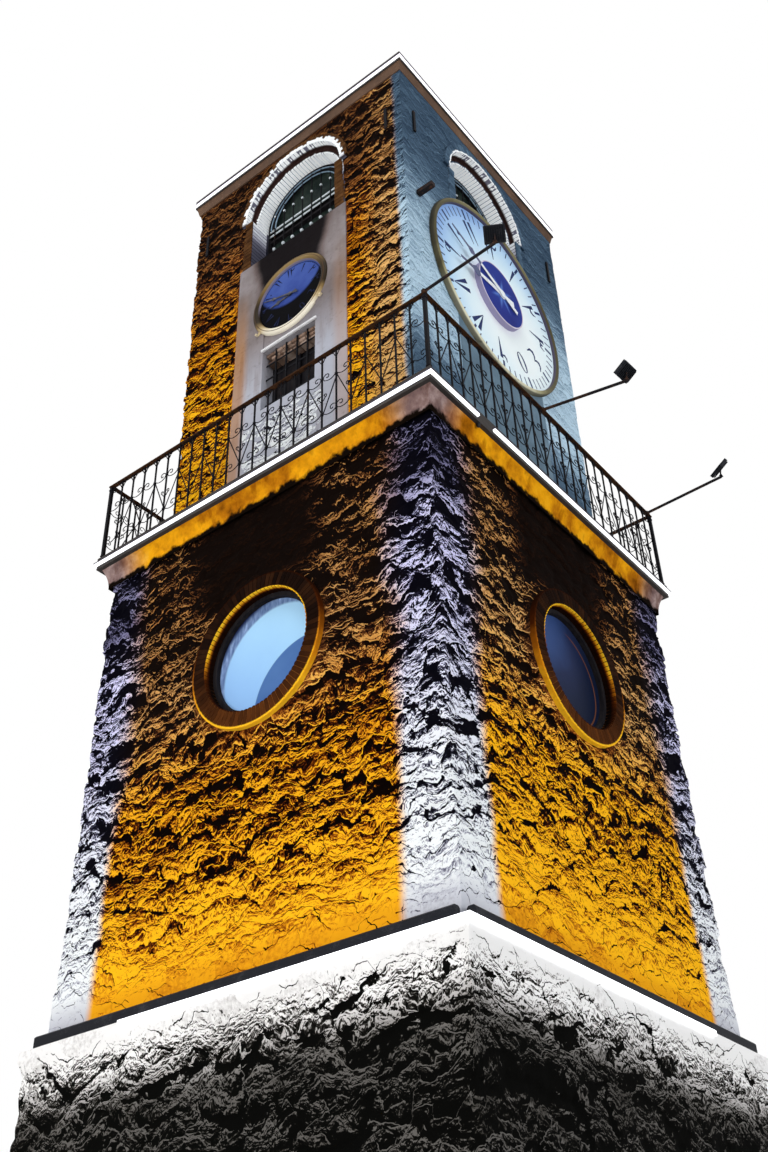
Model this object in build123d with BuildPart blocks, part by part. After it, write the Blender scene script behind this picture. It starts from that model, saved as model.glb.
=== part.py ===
from build123d import *
import math
import os

os.makedirs("parts", exist_ok=True)

# A square rubble clock tower, in millimetres. The origin is on the tower's axis at ground level.
# -Y is the front, with a small dial, and +X is the right side, with the large dial.

# Base stage
base_height = 4500
base_foot_half = 2190
base_batter = 45
base_thickness = 995
ledge_course_height = 60
ground_floor_thickness = 120

# Doorway in the base
door_half_width = 480
door_spring_height = 1700
door_leaf_thickness = 60
door_set_back = 260
surround_width = 190
surround_depth = 420
surround_proud = 25
threshold_height = 150

# Middle stage, with the round windows
middle_height = 4680
ledge_width = 133
middle_batter = 30
floor_seat = 50
room_floor_thickness = 180
round_window_rise = 2850
front_window_shift = 110
round_window_radius = 571
brick_ring_width = 151
brick_ring_depth = 300
brick_ring_proud = 35
brick_ring_count = 56
window_frame_set_back = 60
window_frame_depth = 45
window_frame_width = 42
pane_thickness = 10

# Balcony
cornice_height = 230
cornice_reach = 62
balcony_reach = 103
balcony_thickness = 140
strip_depth = 25
strip_height = 40
strip_rise = 40
strip_gap_start = 710
strip_gap_length = 240

# Railing
railing_inset = 33
railing_height = 956
railing_bays = 24
bar_size = 14
post_size = 32
top_rail_width = 46
top_rail_thickness = 14
foot_rail_thickness = 10
brace_width = 10
brace_thickness = 6
brace_low = 200
brace_high = 620

# Floodlights on arms, reaching out from the right-hand railing
arm_radius = 15
arm_saddle_height = 24
lamp_width = 190
lamp_height = 160
lamp_depth = 55
lamp_rise = 115
lamp_stem = 18

# Lamps along the ledge
washer_end_gap = 135
washer_width = 70
washer_height = 105
washer_clear = 28
washer_module = 1060
washer_groove = 6
ledge_strip_front_run = 3150
ledge_strip_right_run = 3300

# Upper stage, with the dials
upper_height = 5520
walk_width = 475
upper_thickness = 600
outer_order_radius = 830
inner_order_radius = 735
bay_radius = 640
arch_brick_count = 33
outer_order_depth = 95
order_lap = 10
outer_order_proud = 12
arch_spring = 4620
coat_half_width = 790
coat_thickness = 20
infill_depth = 340
infill_height = 3790
lunette_set_back = 275
lunette_frame_depth = 50
lunette_frame_width = 45
transom_height = 34
transom_drops = (170, 60)

# Small barred window in each infill that has a small dial
small_window_width = 740
small_window_height = 860
small_window_sill = 1340
small_window_set_back = 170
small_window_frame = 40
shallow_panel_depth = 15

# Large dial
large_dial_rise = 3030
large_case_radius = 1220
large_face_radius = 1157
large_case_depth = 64
case_plate = 5
face_thickness = 8
hub_radius = 425
hub_top = 82

# Small dials
small_dial_drop = 930
small_case_radius = 535
small_face_radius = 448
small_case_pocket = 26
small_case_proud = 28
small_plate = 8

# Hands
hour_now = 8.8
minute_now = 48
hand_gap = 6
hand_thickness = 4
shaft_clearance = 0.5
large_minute_reach = 975
large_hour_reach = 790
large_pipe_radius = 22
large_arbor_radius = 14
small_minute_reach = 400
small_hour_reach = 285
small_pipe_radius = 10
small_arbor_radius = 6

# Roof
moulding_height = 125
moulding_reach = 26
roof_reach = 40
roof_thickness = 145
roof_strip_depth = 15
roof_strip_rise = 30

# Iron on the walls
anchor_from_corner = 220
anchor_rise = 4740
anchor_length = 370
anchor_width = 36
anchor_thickness = 18
bracket_from_corner = 220
bracket_clear = 232
bracket_length = 200
bracket_size = 60
dome_from_corner = 720
dome_radius = 20
dome_drop = 46

slip = 0.3

# Levels worked out from the sizes above
base_top_half = base_foot_half - base_batter
base_inner_half = base_foot_half - base_thickness
middle_foot_half = base_top_half - ledge_width
middle_top_half = middle_foot_half - middle_batter
middle_inner_half = base_inner_half + floor_seat
balcony_half = middle_top_half + balcony_reach
railing_line = balcony_half - railing_inset
upper_half = balcony_half - walk_width
roof_half = upper_half + roof_reach
slab_bottom = base_height + middle_height
balcony_floor = slab_bottom + balcony_thickness
upper_top = balcony_floor + upper_height
roof_bottom = upper_top + moulding_height
round_window_z = base_height + round_window_rise
turns = {"front": 0, "right": 90, "back": 180, "left": 270}
plain_turns = {side: turn for side, turn in turns.items() if side != "front"}
small_dial_turns = {side: turn for side, turn in turns.items() if side != "right"}


def middle_half_at(z):
    share = (z - base_height) / middle_height
    return middle_foot_half + share * (middle_top_half - middle_foot_half)


def write(piece, name):
    piece.label = name
    export_step(piece, f"parts/{name}.step")


def turned(piece, turn):
    with BuildPart() as placed:
        add(piece, rotation=(0, 0, turn))
    return placed.part


def write_sides(piece, name, sides=turns):
    for side, turn in sides.items():
        write(turned(piece, turn), f"{name}_{side}")


def write_together(piece, name, sides=turns):
    with BuildPart() as together:
        for turn in sides.values():
            add(piece, rotation=(0, 0, turn))
    write(together.part, name)


def mitred_wall(foot_half, top_half, inner_half, foot, height):
    with BuildPart() as wall:
        for level, half in ((foot, foot_half), (foot + height, top_half)):
            with BuildSketch(Plane.XY.offset(level)):
                outer = [(-half, -half), (half, -half)]
                inner = [(inner_half, -inner_half), (-inner_half, -inner_half)]
                Polygon(*outer, *inner, align=None)
        loft()
    return wall.part


def square_ring(outer_half, inner_half, level, height):
    with BuildPart() as ring:
        with BuildSketch(Plane.XY.offset(level)):
            Rectangle(2 * outer_half, 2 * outer_half)
            Rectangle(2 * inner_half, 2 * inner_half, mode=Mode.SUBTRACT)
        extrude(amount=height)
    return ring.part


# Base stage: a ground floor between four battered walls
with BuildPart() as ground_floor:
    with BuildSketch():
        Rectangle(2 * base_inner_half, 2 * base_inner_half)
        with Locations((0, -(base_foot_half - surround_depth + base_inner_half) / 2)):
            Rectangle(2 * door_half_width - 2 * slip, base_foot_half - surround_depth - base_inner_half)
    extrude(amount=ground_floor_thickness)
write(ground_floor.part, "ground_floor")

course_foot = base_height - ledge_course_height
with BuildPart() as base_wall_block:
    add(mitred_wall(base_foot_half, base_top_half, base_inner_half, 0, course_foot))
    add(mitred_wall(base_top_half, base_top_half, base_inner_half, course_foot, ledge_course_height))
base_wall = base_wall_block.part
write_sides(base_wall, "base_wall", plain_turns)

with BuildPart() as door_wall:
    add(base_wall)
    with BuildSketch(Plane.XZ.offset(base_inner_half)):
        with Locations((0, door_spring_height / 2)):
            Rectangle(2 * door_half_width, door_spring_height)
        with Locations((0, door_spring_height)):
            Circle(door_half_width)
    extrude(amount=2 * base_thickness, mode=Mode.SUBTRACT)
    with BuildSketch(Plane.XZ.offset(base_foot_half - surround_depth)):
        with Locations((0, door_spring_height / 2)):
            Rectangle(2 * (door_half_width + surround_width), door_spring_height)
        with Locations((0, door_spring_height)):
            Circle(door_half_width + surround_width)
    extrude(amount=2 * surround_depth, mode=Mode.SUBTRACT)
write(door_wall.part, "base_wall_front")

with BuildPart() as door_surround:
    with BuildSketch(Plane.XZ.offset(base_foot_half - surround_depth)):
        with Locations((0, door_spring_height / 2)):
            Rectangle(2 * (door_half_width + surround_width) - 2 * slip, door_spring_height)
            Rectangle(2 * door_half_width, door_spring_height, mode=Mode.SUBTRACT)
        with Locations((0, door_spring_height)):
            Circle(door_half_width + surround_width - slip)
            Circle(door_half_width, mode=Mode.SUBTRACT)
        with Locations((0, door_spring_height / 2)):
            Rectangle(2 * door_half_width, door_spring_height, mode=Mode.SUBTRACT)
        with Locations((0, threshold_height / 2)):
            Rectangle(2 * door_half_width, threshold_height)
    extrude(amount=surround_depth + surround_proud)
write(door_surround.part, "door_surround")

with BuildPart() as entrance_door:
    with BuildSketch(Plane.XZ.offset(base_foot_half - door_set_back)):
        with Locations((0, (door_spring_height + threshold_height) / 2)):
            Rectangle(2 * door_half_width - 2 * slip, door_spring_height - threshold_height)
        with Locations((0, door_spring_height)):
            Circle(door_half_width - slip)
    extrude(amount=-door_leaf_thickness)
write(entrance_door.part, "entrance_door")

# Floor of the room with the round windows, on the inner edge of the base walls
with BuildPart() as window_room_floor:
    with BuildSketch(Plane.XY.offset(base_height)):
        Rectangle(2 * middle_inner_half, 2 * middle_inner_half)
    extrude(amount=room_floor_thickness)
write(window_room_floor.part, "window_room_floor")

# Middle stage: each wall has a round window with a brick ring let into its face
ring_face = middle_half_at(round_window_z) + brick_ring_proud
ring_back = middle_half_at(round_window_z) - brick_ring_depth
brick_ring_radius = round_window_radius + brick_ring_width

frame_front = middle_half_at(round_window_z) - window_frame_set_back


def ring_outline(shift, outer, inner):
    with BuildSketch() as outline:
        with Locations((shift, round_window_z)):
            RegularPolygon(outer, brick_ring_count, major_radius=False)
            if inner:
                RegularPolygon(inner, brick_ring_count, major_radius=False, mode=Mode.SUBTRACT)
    return outline.sketch


def middle_wall(shift):
    with BuildPart() as wall:
        add(mitred_wall(middle_foot_half, middle_top_half, middle_inner_half, base_height, middle_height))
        with BuildSketch(Plane.XZ):
            add(ring_outline(shift, brick_ring_radius, 0))
        extrude(amount=2 * middle_foot_half, mode=Mode.SUBTRACT)
    return wall.part


def brick_ring(shift):
    with BuildPart() as ring:
        with BuildSketch(Plane.XZ.offset(ring_face)):
            add(ring_outline(shift, brick_ring_radius - slip, round_window_radius))
        extrude(amount=ring_back - ring_face)
    return ring.part


def round_frame(shift):
    with BuildPart() as frame:
        with BuildSketch(Plane.XZ.offset(frame_front)):
            add(ring_outline(shift, round_window_radius - slip, round_window_radius - window_frame_width))
        extrude(amount=-window_frame_depth)
    return frame.part


def round_pane(shift):
    with BuildPart() as pane:
        with BuildSketch(Plane.XZ.offset(frame_front - window_frame_depth)):
            add(ring_outline(shift, round_window_radius - slip, 0))
        extrude(amount=-pane_thickness)
    return pane.part


def write_windows(shaped, name):
    with BuildPart() as together:
        add(shaped(front_window_shift))
        for turn in plain_turns.values():
            add(shaped(0), rotation=(0, 0, turn))
    write(together.part, name)


# The front's window stands a little nearer to the right-hand corner than the others do
write(middle_wall(front_window_shift), "middle_wall_front")
write_sides(middle_wall(0), "middle_wall", plain_turns)
write_windows(brick_ring, "brick_rings")
write_windows(round_frame, "round_window_frames")
write_windows(round_pane, "round_window_panes")

# Rendered cove under the balcony: its section, drawn across the tower, is crossed with itself
cornice_bottom = slab_bottom - cornice_height
cornice_foot_half = middle_half_at(cornice_bottom)
cornice_top_half = middle_top_half + cornice_reach


def cornice_block():
    with BuildPart() as block:
        with BuildSketch(Plane.XZ):
            with BuildLine():
                left_foot = (-cornice_foot_half, cornice_bottom)
                right_foot = (cornice_foot_half, cornice_bottom)
                left_top = (-cornice_top_half, slab_bottom)
                right_top = (cornice_top_half, slab_bottom)
                Line(left_foot, right_foot)
                TangentArc(right_foot, right_top, tangent=(0, 1))
                Line(right_top, left_top)
                TangentArc(left_foot, left_top, tangent=(0, 1))
            make_face()
        extrude(amount=cornice_top_half, both=True)
    return block.part


with BuildPart() as middle_envelope:
    for level, half in ((base_height, middle_foot_half), (slab_bottom, middle_top_half)):
        with BuildSketch(Plane.XY.offset(level)):
            Rectangle(2 * half, 2 * half)
    loft()

cornice_section = cornice_block()
with BuildPart() as balcony_cornice:
    add(cornice_section)
    add(cornice_section, rotation=(0, 0, 90), mode=Mode.INTERSECT)
    add(middle_envelope.part, mode=Mode.SUBTRACT)
write(balcony_cornice.part, "balcony_cornice")

with BuildPart() as balcony_slab:
    with BuildSketch(Plane.XY.offset(slab_bottom)):
        Rectangle(2 * balcony_half, 2 * balcony_half)
    extrude(amount=balcony_thickness)
write(balcony_slab.part, "balcony_slab")

# Lit strip along the balcony's edge, with one stretch missing on the right side
with BuildPart() as balcony_light_strip:
    add(square_ring(balcony_half + strip_depth, balcony_half, slab_bottom + strip_rise, strip_height))
    with BuildSketch(Plane.XY.offset(slab_bottom + strip_rise)):
        gap_place = strip_gap_start + strip_gap_length / 2 - balcony_half - strip_depth
        with Locations((balcony_half + strip_depth / 2, gap_place)):
            Rectangle(strip_depth, strip_gap_length)
    extrude(amount=strip_height, mode=Mode.SUBTRACT)
write(balcony_light_strip.part, "balcony_light_strip")

# Railing: one panel a side, each with the corner post at its left end
bay = 2 * railing_line / railing_bays
bars = [(-railing_line + bay * number, -railing_line) for number in range(1, railing_bays)]
rail_span = 2 * railing_line - top_rail_width
foot_span = 2 * railing_line - post_size
with BuildPart() as railing:
    with BuildSketch(Plane.XY.offset(balcony_floor)):
        with Locations((-railing_line, -railing_line)):
            Rectangle(post_size, post_size)
    extrude(amount=railing_height - top_rail_thickness)
    with Locations((-railing_line, -railing_line, balcony_floor + railing_height - top_rail_thickness / 2)):
        Box(top_rail_width, top_rail_width, top_rail_thickness)
    with BuildSketch(Plane.XY.offset(balcony_floor)):
        with Locations(*bars):
            Rectangle(bar_size, bar_size)
    extrude(amount=railing_height - top_rail_thickness)
    with Locations((0, -railing_line, balcony_floor + railing_height - top_rail_thickness / 2)):
        Box(rail_span, top_rail_width, top_rail_thickness)
    with Locations((0, -railing_line, balcony_floor + foot_rail_thickness / 2)):
        Box(foot_span, post_size, foot_rail_thickness)
    with BuildSketch(Plane.XZ.offset(railing_line - bar_size / 2)):
        with BuildLine():
            rises = [brace_low if number % 2 else brace_high for number in range(1, railing_bays)]
            Polyline(*[(bar[0], balcony_floor + rise) for bar, rise in zip(bars, rises)])
        trace(line_width=brace_width)
    extrude(amount=-brace_thickness)
write_sides(railing.part, "railing")

# Floodlights: arms clamped to the right-hand top rail, with the lamps turned back to the dial
rail_top = balcony_floor + railing_height
far_arm = railing_line - post_size
arms = {"near": (-railing_line, 776, 56), "middle": (-90, 921, -190), "far": (far_arm, 897, 24)}
aim = Vector(upper_half, 0, balcony_floor + large_dial_rise)
with BuildPart() as floodlights:
    for place, reach, rise in arms.values():
        with Locations((railing_line, place, rail_top)):
            Box(top_rail_width, 3 * arm_radius, arm_saddle_height, align=(Align.CENTER, Align.CENTER, Align.MIN))
        start = Vector(railing_line, place, rail_top + arm_saddle_height)
        end = start + Vector(reach, 0, rise)
        with Locations(Plane(origin=start, z_dir=end - start)):
            Cylinder(arm_radius, (end - start).length, align=(Align.CENTER, Align.CENTER, Align.MIN))
        head = end + Vector(0, 0, lamp_rise)
        with Locations(end):
            Box(lamp_stem, lamp_stem, lamp_rise, align=(Align.CENTER, Align.CENTER, Align.MIN))
        with Locations(Plane(origin=head, x_dir=Vector(0, 0, 1).cross(aim - head), z_dir=aim - head)):
            Box(lamp_width, lamp_height, lamp_depth)
write(floodlights.part, "floodlights")

# Lamp housings along the ledge, one continuous run a side with grooves where modules meet
washer_line = middle_foot_half + washer_clear + washer_width / 2
with BuildPart() as wall_washer:
    with Locations((0, -washer_line, base_height + washer_height / 2)):
        Box(2 * (base_top_half - washer_end_gap), washer_width, washer_height)
    chamfer(wall_washer.edges().filter_by(Axis.X).group_by(Axis.Z)[-1], washer_width / 5)
    grooves = [washer_module * step for step in (-1.5, -0.5, 0.5, 1.5)]
    with Locations(*[(place, -washer_line, base_height + washer_height) for place in grooves]):
        Box(2 * washer_groove, washer_width, 2 * washer_groove, mode=Mode.SUBTRACT)
write_together(wall_washer.part, "wall_washers")

# Lit strip below the ledge, round the near corner and, as guessed, round the far one
ledge_strip_half = base_top_half + strip_depth
with BuildPart() as ledge_corner_strip:
    with BuildSketch(Plane.XY.offset(base_height - strip_height)):
        with Locations((ledge_strip_half, -ledge_strip_half)):
            Rectangle(ledge_strip_front_run, strip_depth, align=(Align.MAX, Align.MIN))
            Rectangle(strip_depth, ledge_strip_right_run, align=(Align.MAX, Align.MIN))
    extrude(amount=strip_height)
two_turns = {"front": turns["front"], "back": turns["back"]}
write_together(ledge_corner_strip.part, "ledge_light_strips", two_turns)

# Upper stage: each wall is opened by a tall arched bay, which an infill closes up to the lunette
upper_inner_half = upper_half - upper_thickness
front_face = Plane.XZ.offset(upper_half)
spring_z = balcony_floor + arch_spring
infill_top = balcony_floor + infill_height


def arch_head(radius):
    with BuildSketch() as head:
        with Locations((0, spring_z)):
            RegularPolygon(radius, 2 * arch_brick_count, major_radius=False, rotation=90 / arch_brick_count)
            Rectangle(3 * radius, 3 * radius, align=(Align.CENTER, Align.MAX), mode=Mode.SUBTRACT)
    return head.sketch


def arch_outline(radius, foot):
    with BuildSketch() as outline:
        add(arch_head(radius))
        with Locations((0, (foot + spring_z) / 2)):
            Rectangle(2 * radius, spring_z - foot)
    return outline.sketch


with BuildPart() as upper_wall:
    add(mitred_wall(upper_half, upper_half, upper_inner_half, balcony_floor, upper_height))
    with BuildSketch(front_face):
        add(arch_outline(inner_order_radius, balcony_floor))
    extrude(amount=-upper_thickness, mode=Mode.SUBTRACT)
    with BuildSketch(front_face):
        add(arch_head(outer_order_radius))
    extrude(amount=-outer_order_depth, mode=Mode.SUBTRACT)
    with BuildSketch(front_face):
        with Locations((0, balcony_floor + infill_height / 2)):
            Rectangle(2 * coat_half_width, infill_height)
    extrude(amount=-coat_thickness, mode=Mode.SUBTRACT)
write_sides(upper_wall.part, "upper_wall")

with BuildPart() as brick_arch:
    with BuildSketch(front_face):
        add(arch_outline(inner_order_radius - slip, balcony_floor))
        add(arch_outline(bay_radius, balcony_floor), mode=Mode.SUBTRACT)
    extrude(amount=-upper_thickness)
    with BuildSketch(front_face):
        add(arch_head(outer_order_radius))
    extrude(amount=-outer_order_depth, mode=Mode.SUBTRACT)
    with BuildSketch(front_face):
        with Locations((0, balcony_floor + infill_height / 2)):
            Rectangle(2 * coat_half_width, infill_height)
    extrude(amount=-coat_thickness, mode=Mode.SUBTRACT)
    with BuildSketch(front_face.offset(outer_order_proud)):
        add(arch_head(outer_order_radius - slip))
        add(arch_head(inner_order_radius - slip - order_lap), mode=Mode.SUBTRACT)
    extrude(amount=-outer_order_depth - outer_order_proud)
write_together(brick_arch.part, "brick_arches")

with BuildPart() as plain_infill:
    with BuildSketch(front_face):
        with Locations((0, balcony_floor + infill_height / 2)):
            Rectangle(2 * (coat_half_width - slip), infill_height)
    extrude(amount=-coat_thickness)
    with BuildSketch(front_face.offset(-coat_thickness)):
        with Locations((0, balcony_floor + infill_height / 2)):
            Rectangle(2 * (bay_radius - slip), infill_height)
    extrude(amount=coat_thickness - infill_depth)
write(turned(plain_infill.part, turns["right"]), "plain_infill")

small_dial_z = infill_top - small_dial_drop
window_low = balcony_floor + small_window_sill
window_top = window_low + small_window_height
with BuildPart() as dial_infill:
    add(plain_infill.part)
    with BuildSketch(front_face):
        with Locations((0, (window_low + window_top) / 2)):
            Rectangle(small_window_width, small_window_height)
    extrude(amount=-infill_depth, mode=Mode.SUBTRACT)
    with BuildSketch(front_face):
        with Locations((0, (window_top + small_dial_z) / 2)):
            Rectangle(small_window_width, small_dial_z - window_top)
    extrude(amount=-shallow_panel_depth, mode=Mode.SUBTRACT)
    with BuildSketch(front_face):
        with Locations((0, small_dial_z)):
            Circle(small_case_radius)
    extrude(amount=-small_case_pocket, mode=Mode.SUBTRACT)
write_together(dial_infill.part, "dial_infills", small_dial_turns)

with BuildPart() as small_window:
    with BuildSketch(front_face.offset(-small_window_set_back)):
        with Locations((0, (window_low + window_top) / 2)):
            Rectangle(small_window_width - 2 * slip, small_window_height)
    extrude(amount=-small_window_frame)
    with BuildSketch(front_face.offset(-small_window_set_back)):
        with Locations((0, (window_low + window_top) / 2)):
            with GridLocations(small_window_width / 2 - small_window_frame / 2, 0, 2, 1):
                light_width = (small_window_width - 3 * small_window_frame) / 2
                Rectangle(light_width, small_window_height - 2 * small_window_frame)
    extrude(amount=pane_thickness - small_window_frame, mode=Mode.SUBTRACT)
write_together(small_window.part, "small_windows", small_dial_turns)

# Lunette: an arched frame with a double transom, and its pane
with BuildPart() as lunette_frame:
    with BuildSketch(front_face.offset(-lunette_set_back)):
        add(arch_outline(bay_radius - slip, infill_top))
        light_foot = infill_top + lunette_frame_width
        add(arch_outline(bay_radius - lunette_frame_width, light_foot), mode=Mode.SUBTRACT)
        with Locations(*[(0, spring_z - drop) for drop in transom_drops]):
            Rectangle(2 * (bay_radius - lunette_frame_width / 2), transom_height)
    extrude(amount=-lunette_frame_depth)
write_together(lunette_frame.part, "lunette_frames")

with BuildPart() as lunette_pane:
    with BuildSketch(front_face.offset(-lunette_set_back - lunette_frame_depth)):
        add(arch_outline(bay_radius - lunette_frame_width / 2, infill_top))
    extrude(amount=-pane_thickness)
write_together(lunette_pane.part, "lunette_panes")

# Large dial on the right side, modelled on the front face and then turned
large_dial_z = balcony_floor + large_dial_rise
large_axis = Plane(origin=(0, -upper_half, large_dial_z), z_dir=(0, -1, 0), x_dir=(1, 0, 0))
with BuildPart() as large_dial_case:
    with BuildSketch(large_axis):
        Circle(large_case_radius)
    extrude(amount=large_case_depth)
    chamfer(large_dial_case.faces().sort_by(Axis.Y)[0].edges(), (large_case_radius - large_face_radius) * 0.4)
    with BuildSketch(large_axis.offset(case_plate)):
        Circle(large_face_radius)
    extrude(amount=large_case_depth, mode=Mode.SUBTRACT)
write(turned(large_dial_case.part, turns["right"]), "large_dial_case")

large_face_top = case_plate + face_thickness
with BuildPart() as large_dial_face:
    with BuildSketch(large_axis.offset(case_plate)):
        Circle(large_face_radius - slip)
    extrude(amount=large_face_top - case_plate)
    with BuildSketch(large_axis.offset(large_face_top)):
        Circle(hub_radius)
    extrude(amount=hub_top - large_face_top)
    with BuildSketch(large_axis.offset(large_face_top)):
        Circle(large_pipe_radius + shaft_clearance)
    extrude(amount=hub_top - large_face_top, mode=Mode.SUBTRACT)
write(turned(large_dial_face.part, turns["right"]), "large_dial_face")

# Small dials: a deep case let into the infill, with the face well behind its rim
small_axis = Plane(origin=(0, -upper_half, small_dial_z), z_dir=(0, -1, 0), x_dir=(1, 0, 0))
small_face_back = small_plate - small_case_pocket
small_face_top = small_face_back + face_thickness
with BuildPart() as small_dial_case:
    with BuildSketch(small_axis.offset(-small_case_pocket)):
        Circle(small_case_radius - slip)
    extrude(amount=small_case_pocket + small_case_proud)
    chamfer(small_dial_case.faces().sort_by(Axis.Y)[0].edges(), small_case_proud - 2)
    with BuildSketch(small_axis.offset(small_face_back)):
        Circle(small_face_radius)
    extrude(amount=small_case_pocket + small_case_proud, mode=Mode.SUBTRACT)
write_together(small_dial_case.part, "small_dial_cases", small_dial_turns)

with BuildPart() as small_dial_face:
    with BuildSketch(small_axis.offset(small_face_back)):
        Circle(small_face_radius - slip)
    extrude(amount=face_thickness)
write_together(small_dial_face.part, "small_dial_faces", small_dial_turns)


def hand_outline(reach, tail, width):
    with BuildSketch() as outline:
        Polygon((-width * 0.5, 0), (width * 0.5, 0), (width * 0.22, reach), (-width * 0.22, reach), align=None)
        Polygon((-width * 0.35, 0), (width * 0.35, 0), (width * 0.5, -tail), (-width * 0.5, -tail), align=None)
        with Locations((0, reach * 0.62)):
            Polygon((0, -width * 1.6), (width, 0), (0, width * 1.6), (-width, 0), align=None)
        RegularPolygon(width * 0.9, 16)
    return outline.sketch


def minute_hand(axis, seat, reach, width, arbor_radius, arbor_foot):
    blade = axis.offset(seat + hand_thickness + hand_gap)
    with BuildPart() as hand:
        with BuildSketch(blade):
            add(hand_outline(reach, reach * 0.3, width), rotation=-minute_now * 6)
        extrude(amount=hand_thickness)
        with BuildSketch(blade):
            Circle(arbor_radius)
        extrude(amount=arbor_foot - seat - hand_thickness - hand_gap)
    return hand.part


def hour_hand(axis, seat, reach, width, shafts, pipe_foot):
    pipe_radius, arbor_radius = shafts
    blade = axis.offset(seat)
    with BuildPart() as hand:
        with BuildSketch(blade):
            add(hand_outline(reach, reach * 0.3, width), rotation=-hour_now * 30)
        extrude(amount=hand_thickness)
        with BuildSketch(blade):
            Circle(pipe_radius)
        extrude(amount=pipe_foot - seat)
        with BuildSketch(axis.offset(pipe_foot)):
            Circle(arbor_radius + shaft_clearance)
        extrude(amount=seat + hand_thickness - pipe_foot, mode=Mode.SUBTRACT)
    return hand.part


large_seat = hub_top + hand_gap
large_foot = large_face_top + slip
large_minute_hand = minute_hand(large_axis, large_seat, large_minute_reach, 58, large_arbor_radius, large_foot)
large_shafts = (large_pipe_radius, large_arbor_radius)
large_hour_hand = hour_hand(large_axis, large_seat, large_hour_reach, 74, large_shafts, large_foot)
write(turned(large_minute_hand, turns["right"]), "large_minute_hand")
write(turned(large_hour_hand, turns["right"]), "large_hour_hand")

small_seat = small_face_top + hand_gap
small_foot = small_face_top + slip
small_minute_hand = minute_hand(small_axis, small_seat, small_minute_reach, 26, small_arbor_radius, small_foot)
small_shafts = (small_pipe_radius, small_arbor_radius)
small_hour_hand = hour_hand(small_axis, small_seat, small_hour_reach, 34, small_shafts, small_foot)
for side, turn in small_dial_turns.items():
    write(turned(small_minute_hand, turn), f"{side}_minute_hand")
    write(turned(small_hour_hand, turn), f"{side}_hour_hand")

# Roof: a narrow moulding, a thin slab and the lit strip along its edge
with BuildPart() as roof_moulding:
    with BuildSketch(Plane.XY.offset(upper_top)):
        Rectangle(2 * upper_half, 2 * upper_half)
    with BuildSketch(Plane.XY.offset(roof_bottom)):
        Rectangle(2 * (upper_half + moulding_reach), 2 * (upper_half + moulding_reach))
    loft()
    with BuildSketch(Plane.XY.offset(upper_top)):
        Rectangle(2 * upper_inner_half, 2 * upper_inner_half)
    extrude(amount=moulding_height, mode=Mode.SUBTRACT)
write(roof_moulding.part, "roof_moulding")

with BuildPart() as roof_slab:
    with BuildSketch(Plane.XY.offset(roof_bottom)):
        Rectangle(2 * roof_half, 2 * roof_half)
    extrude(amount=roof_thickness)
write(roof_slab.part, "roof_slab")

roof_strip = square_ring(roof_half + roof_strip_depth, roof_half, roof_bottom + roof_strip_rise, strip_height)
write(roof_strip, "roof_light_strip")

# Iron tie anchors on every upper wall, and a short bracket high on the right side
with BuildPart() as wall_anchor:
    with GridLocations(2 * (upper_half - anchor_from_corner), 0, 2, 1):
        with Locations((0, -upper_half, balcony_floor + anchor_rise)):
            Box(anchor_width, anchor_thickness, anchor_length, align=(Align.CENTER, Align.MAX, Align.CENTER))
write_together(wall_anchor.part, "wall_anchors")

bracket_place = upper_half - bracket_from_corner
bracket_rise = math.sqrt((large_case_radius + bracket_clear) ** 2 - bracket_place**2)
with BuildPart() as wall_bracket:
    with Locations((upper_half, -bracket_place, large_dial_z + bracket_rise)):
        Box(bracket_length, bracket_size, bracket_size, align=(Align.MIN, Align.CENTER, Align.CENTER))
write(wall_bracket.part, "wall_bracket")

# Small dome on the underside of the balcony, where the strip is missing
with BuildPart() as dome_lamp:
    with Locations((cornice_top_half + dome_radius + slip, dome_from_corner - balcony_half, slab_bottom)):
        Cylinder(dome_radius, dome_drop, align=(Align.CENTER, Align.CENTER, Align.MAX))
write(dome_lamp.part, "dome_fixture")
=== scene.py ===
import math
import random
import bmesh
import bpy
import numpy as np
from mathutils import Matrix, Vector

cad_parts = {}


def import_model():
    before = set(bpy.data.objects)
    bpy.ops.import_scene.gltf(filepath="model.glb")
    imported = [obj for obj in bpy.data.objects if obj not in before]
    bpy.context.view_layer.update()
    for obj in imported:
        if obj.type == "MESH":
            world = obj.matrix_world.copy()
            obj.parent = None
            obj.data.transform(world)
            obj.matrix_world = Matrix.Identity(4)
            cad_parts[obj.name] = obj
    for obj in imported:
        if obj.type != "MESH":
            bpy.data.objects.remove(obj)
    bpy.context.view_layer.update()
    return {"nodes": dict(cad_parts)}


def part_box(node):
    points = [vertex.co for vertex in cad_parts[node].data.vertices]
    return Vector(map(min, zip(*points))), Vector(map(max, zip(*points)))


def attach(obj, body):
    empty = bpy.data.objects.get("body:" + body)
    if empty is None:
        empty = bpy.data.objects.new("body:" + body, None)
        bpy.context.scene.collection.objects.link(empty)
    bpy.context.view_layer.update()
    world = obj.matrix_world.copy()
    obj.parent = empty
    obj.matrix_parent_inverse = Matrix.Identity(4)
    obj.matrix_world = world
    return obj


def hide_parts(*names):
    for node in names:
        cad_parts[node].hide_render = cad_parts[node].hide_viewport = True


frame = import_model()
scene = bpy.context.scene
towerBody = "tower"
windowHeight, archSpring, archFoot = 7.35, 13.94, 13.11
sides = {"front": 0, "right": 90, "back": 180, "left": 270}
smallDialSides = ("front", "back", "left")
windowShift = 0.11  # the front's round window stands a little nearer to the right-hand corner
print("frame loaded,", len(frame["nodes"]), "nodes")


# Camera, worked out from the photo's edges
view = dict(focalPixels=1255.6, longSidePixels=1152, yaw=37.44, pitch=36.48, roll=-1.76, place=(6.266, -8.272, 1.613))


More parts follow.
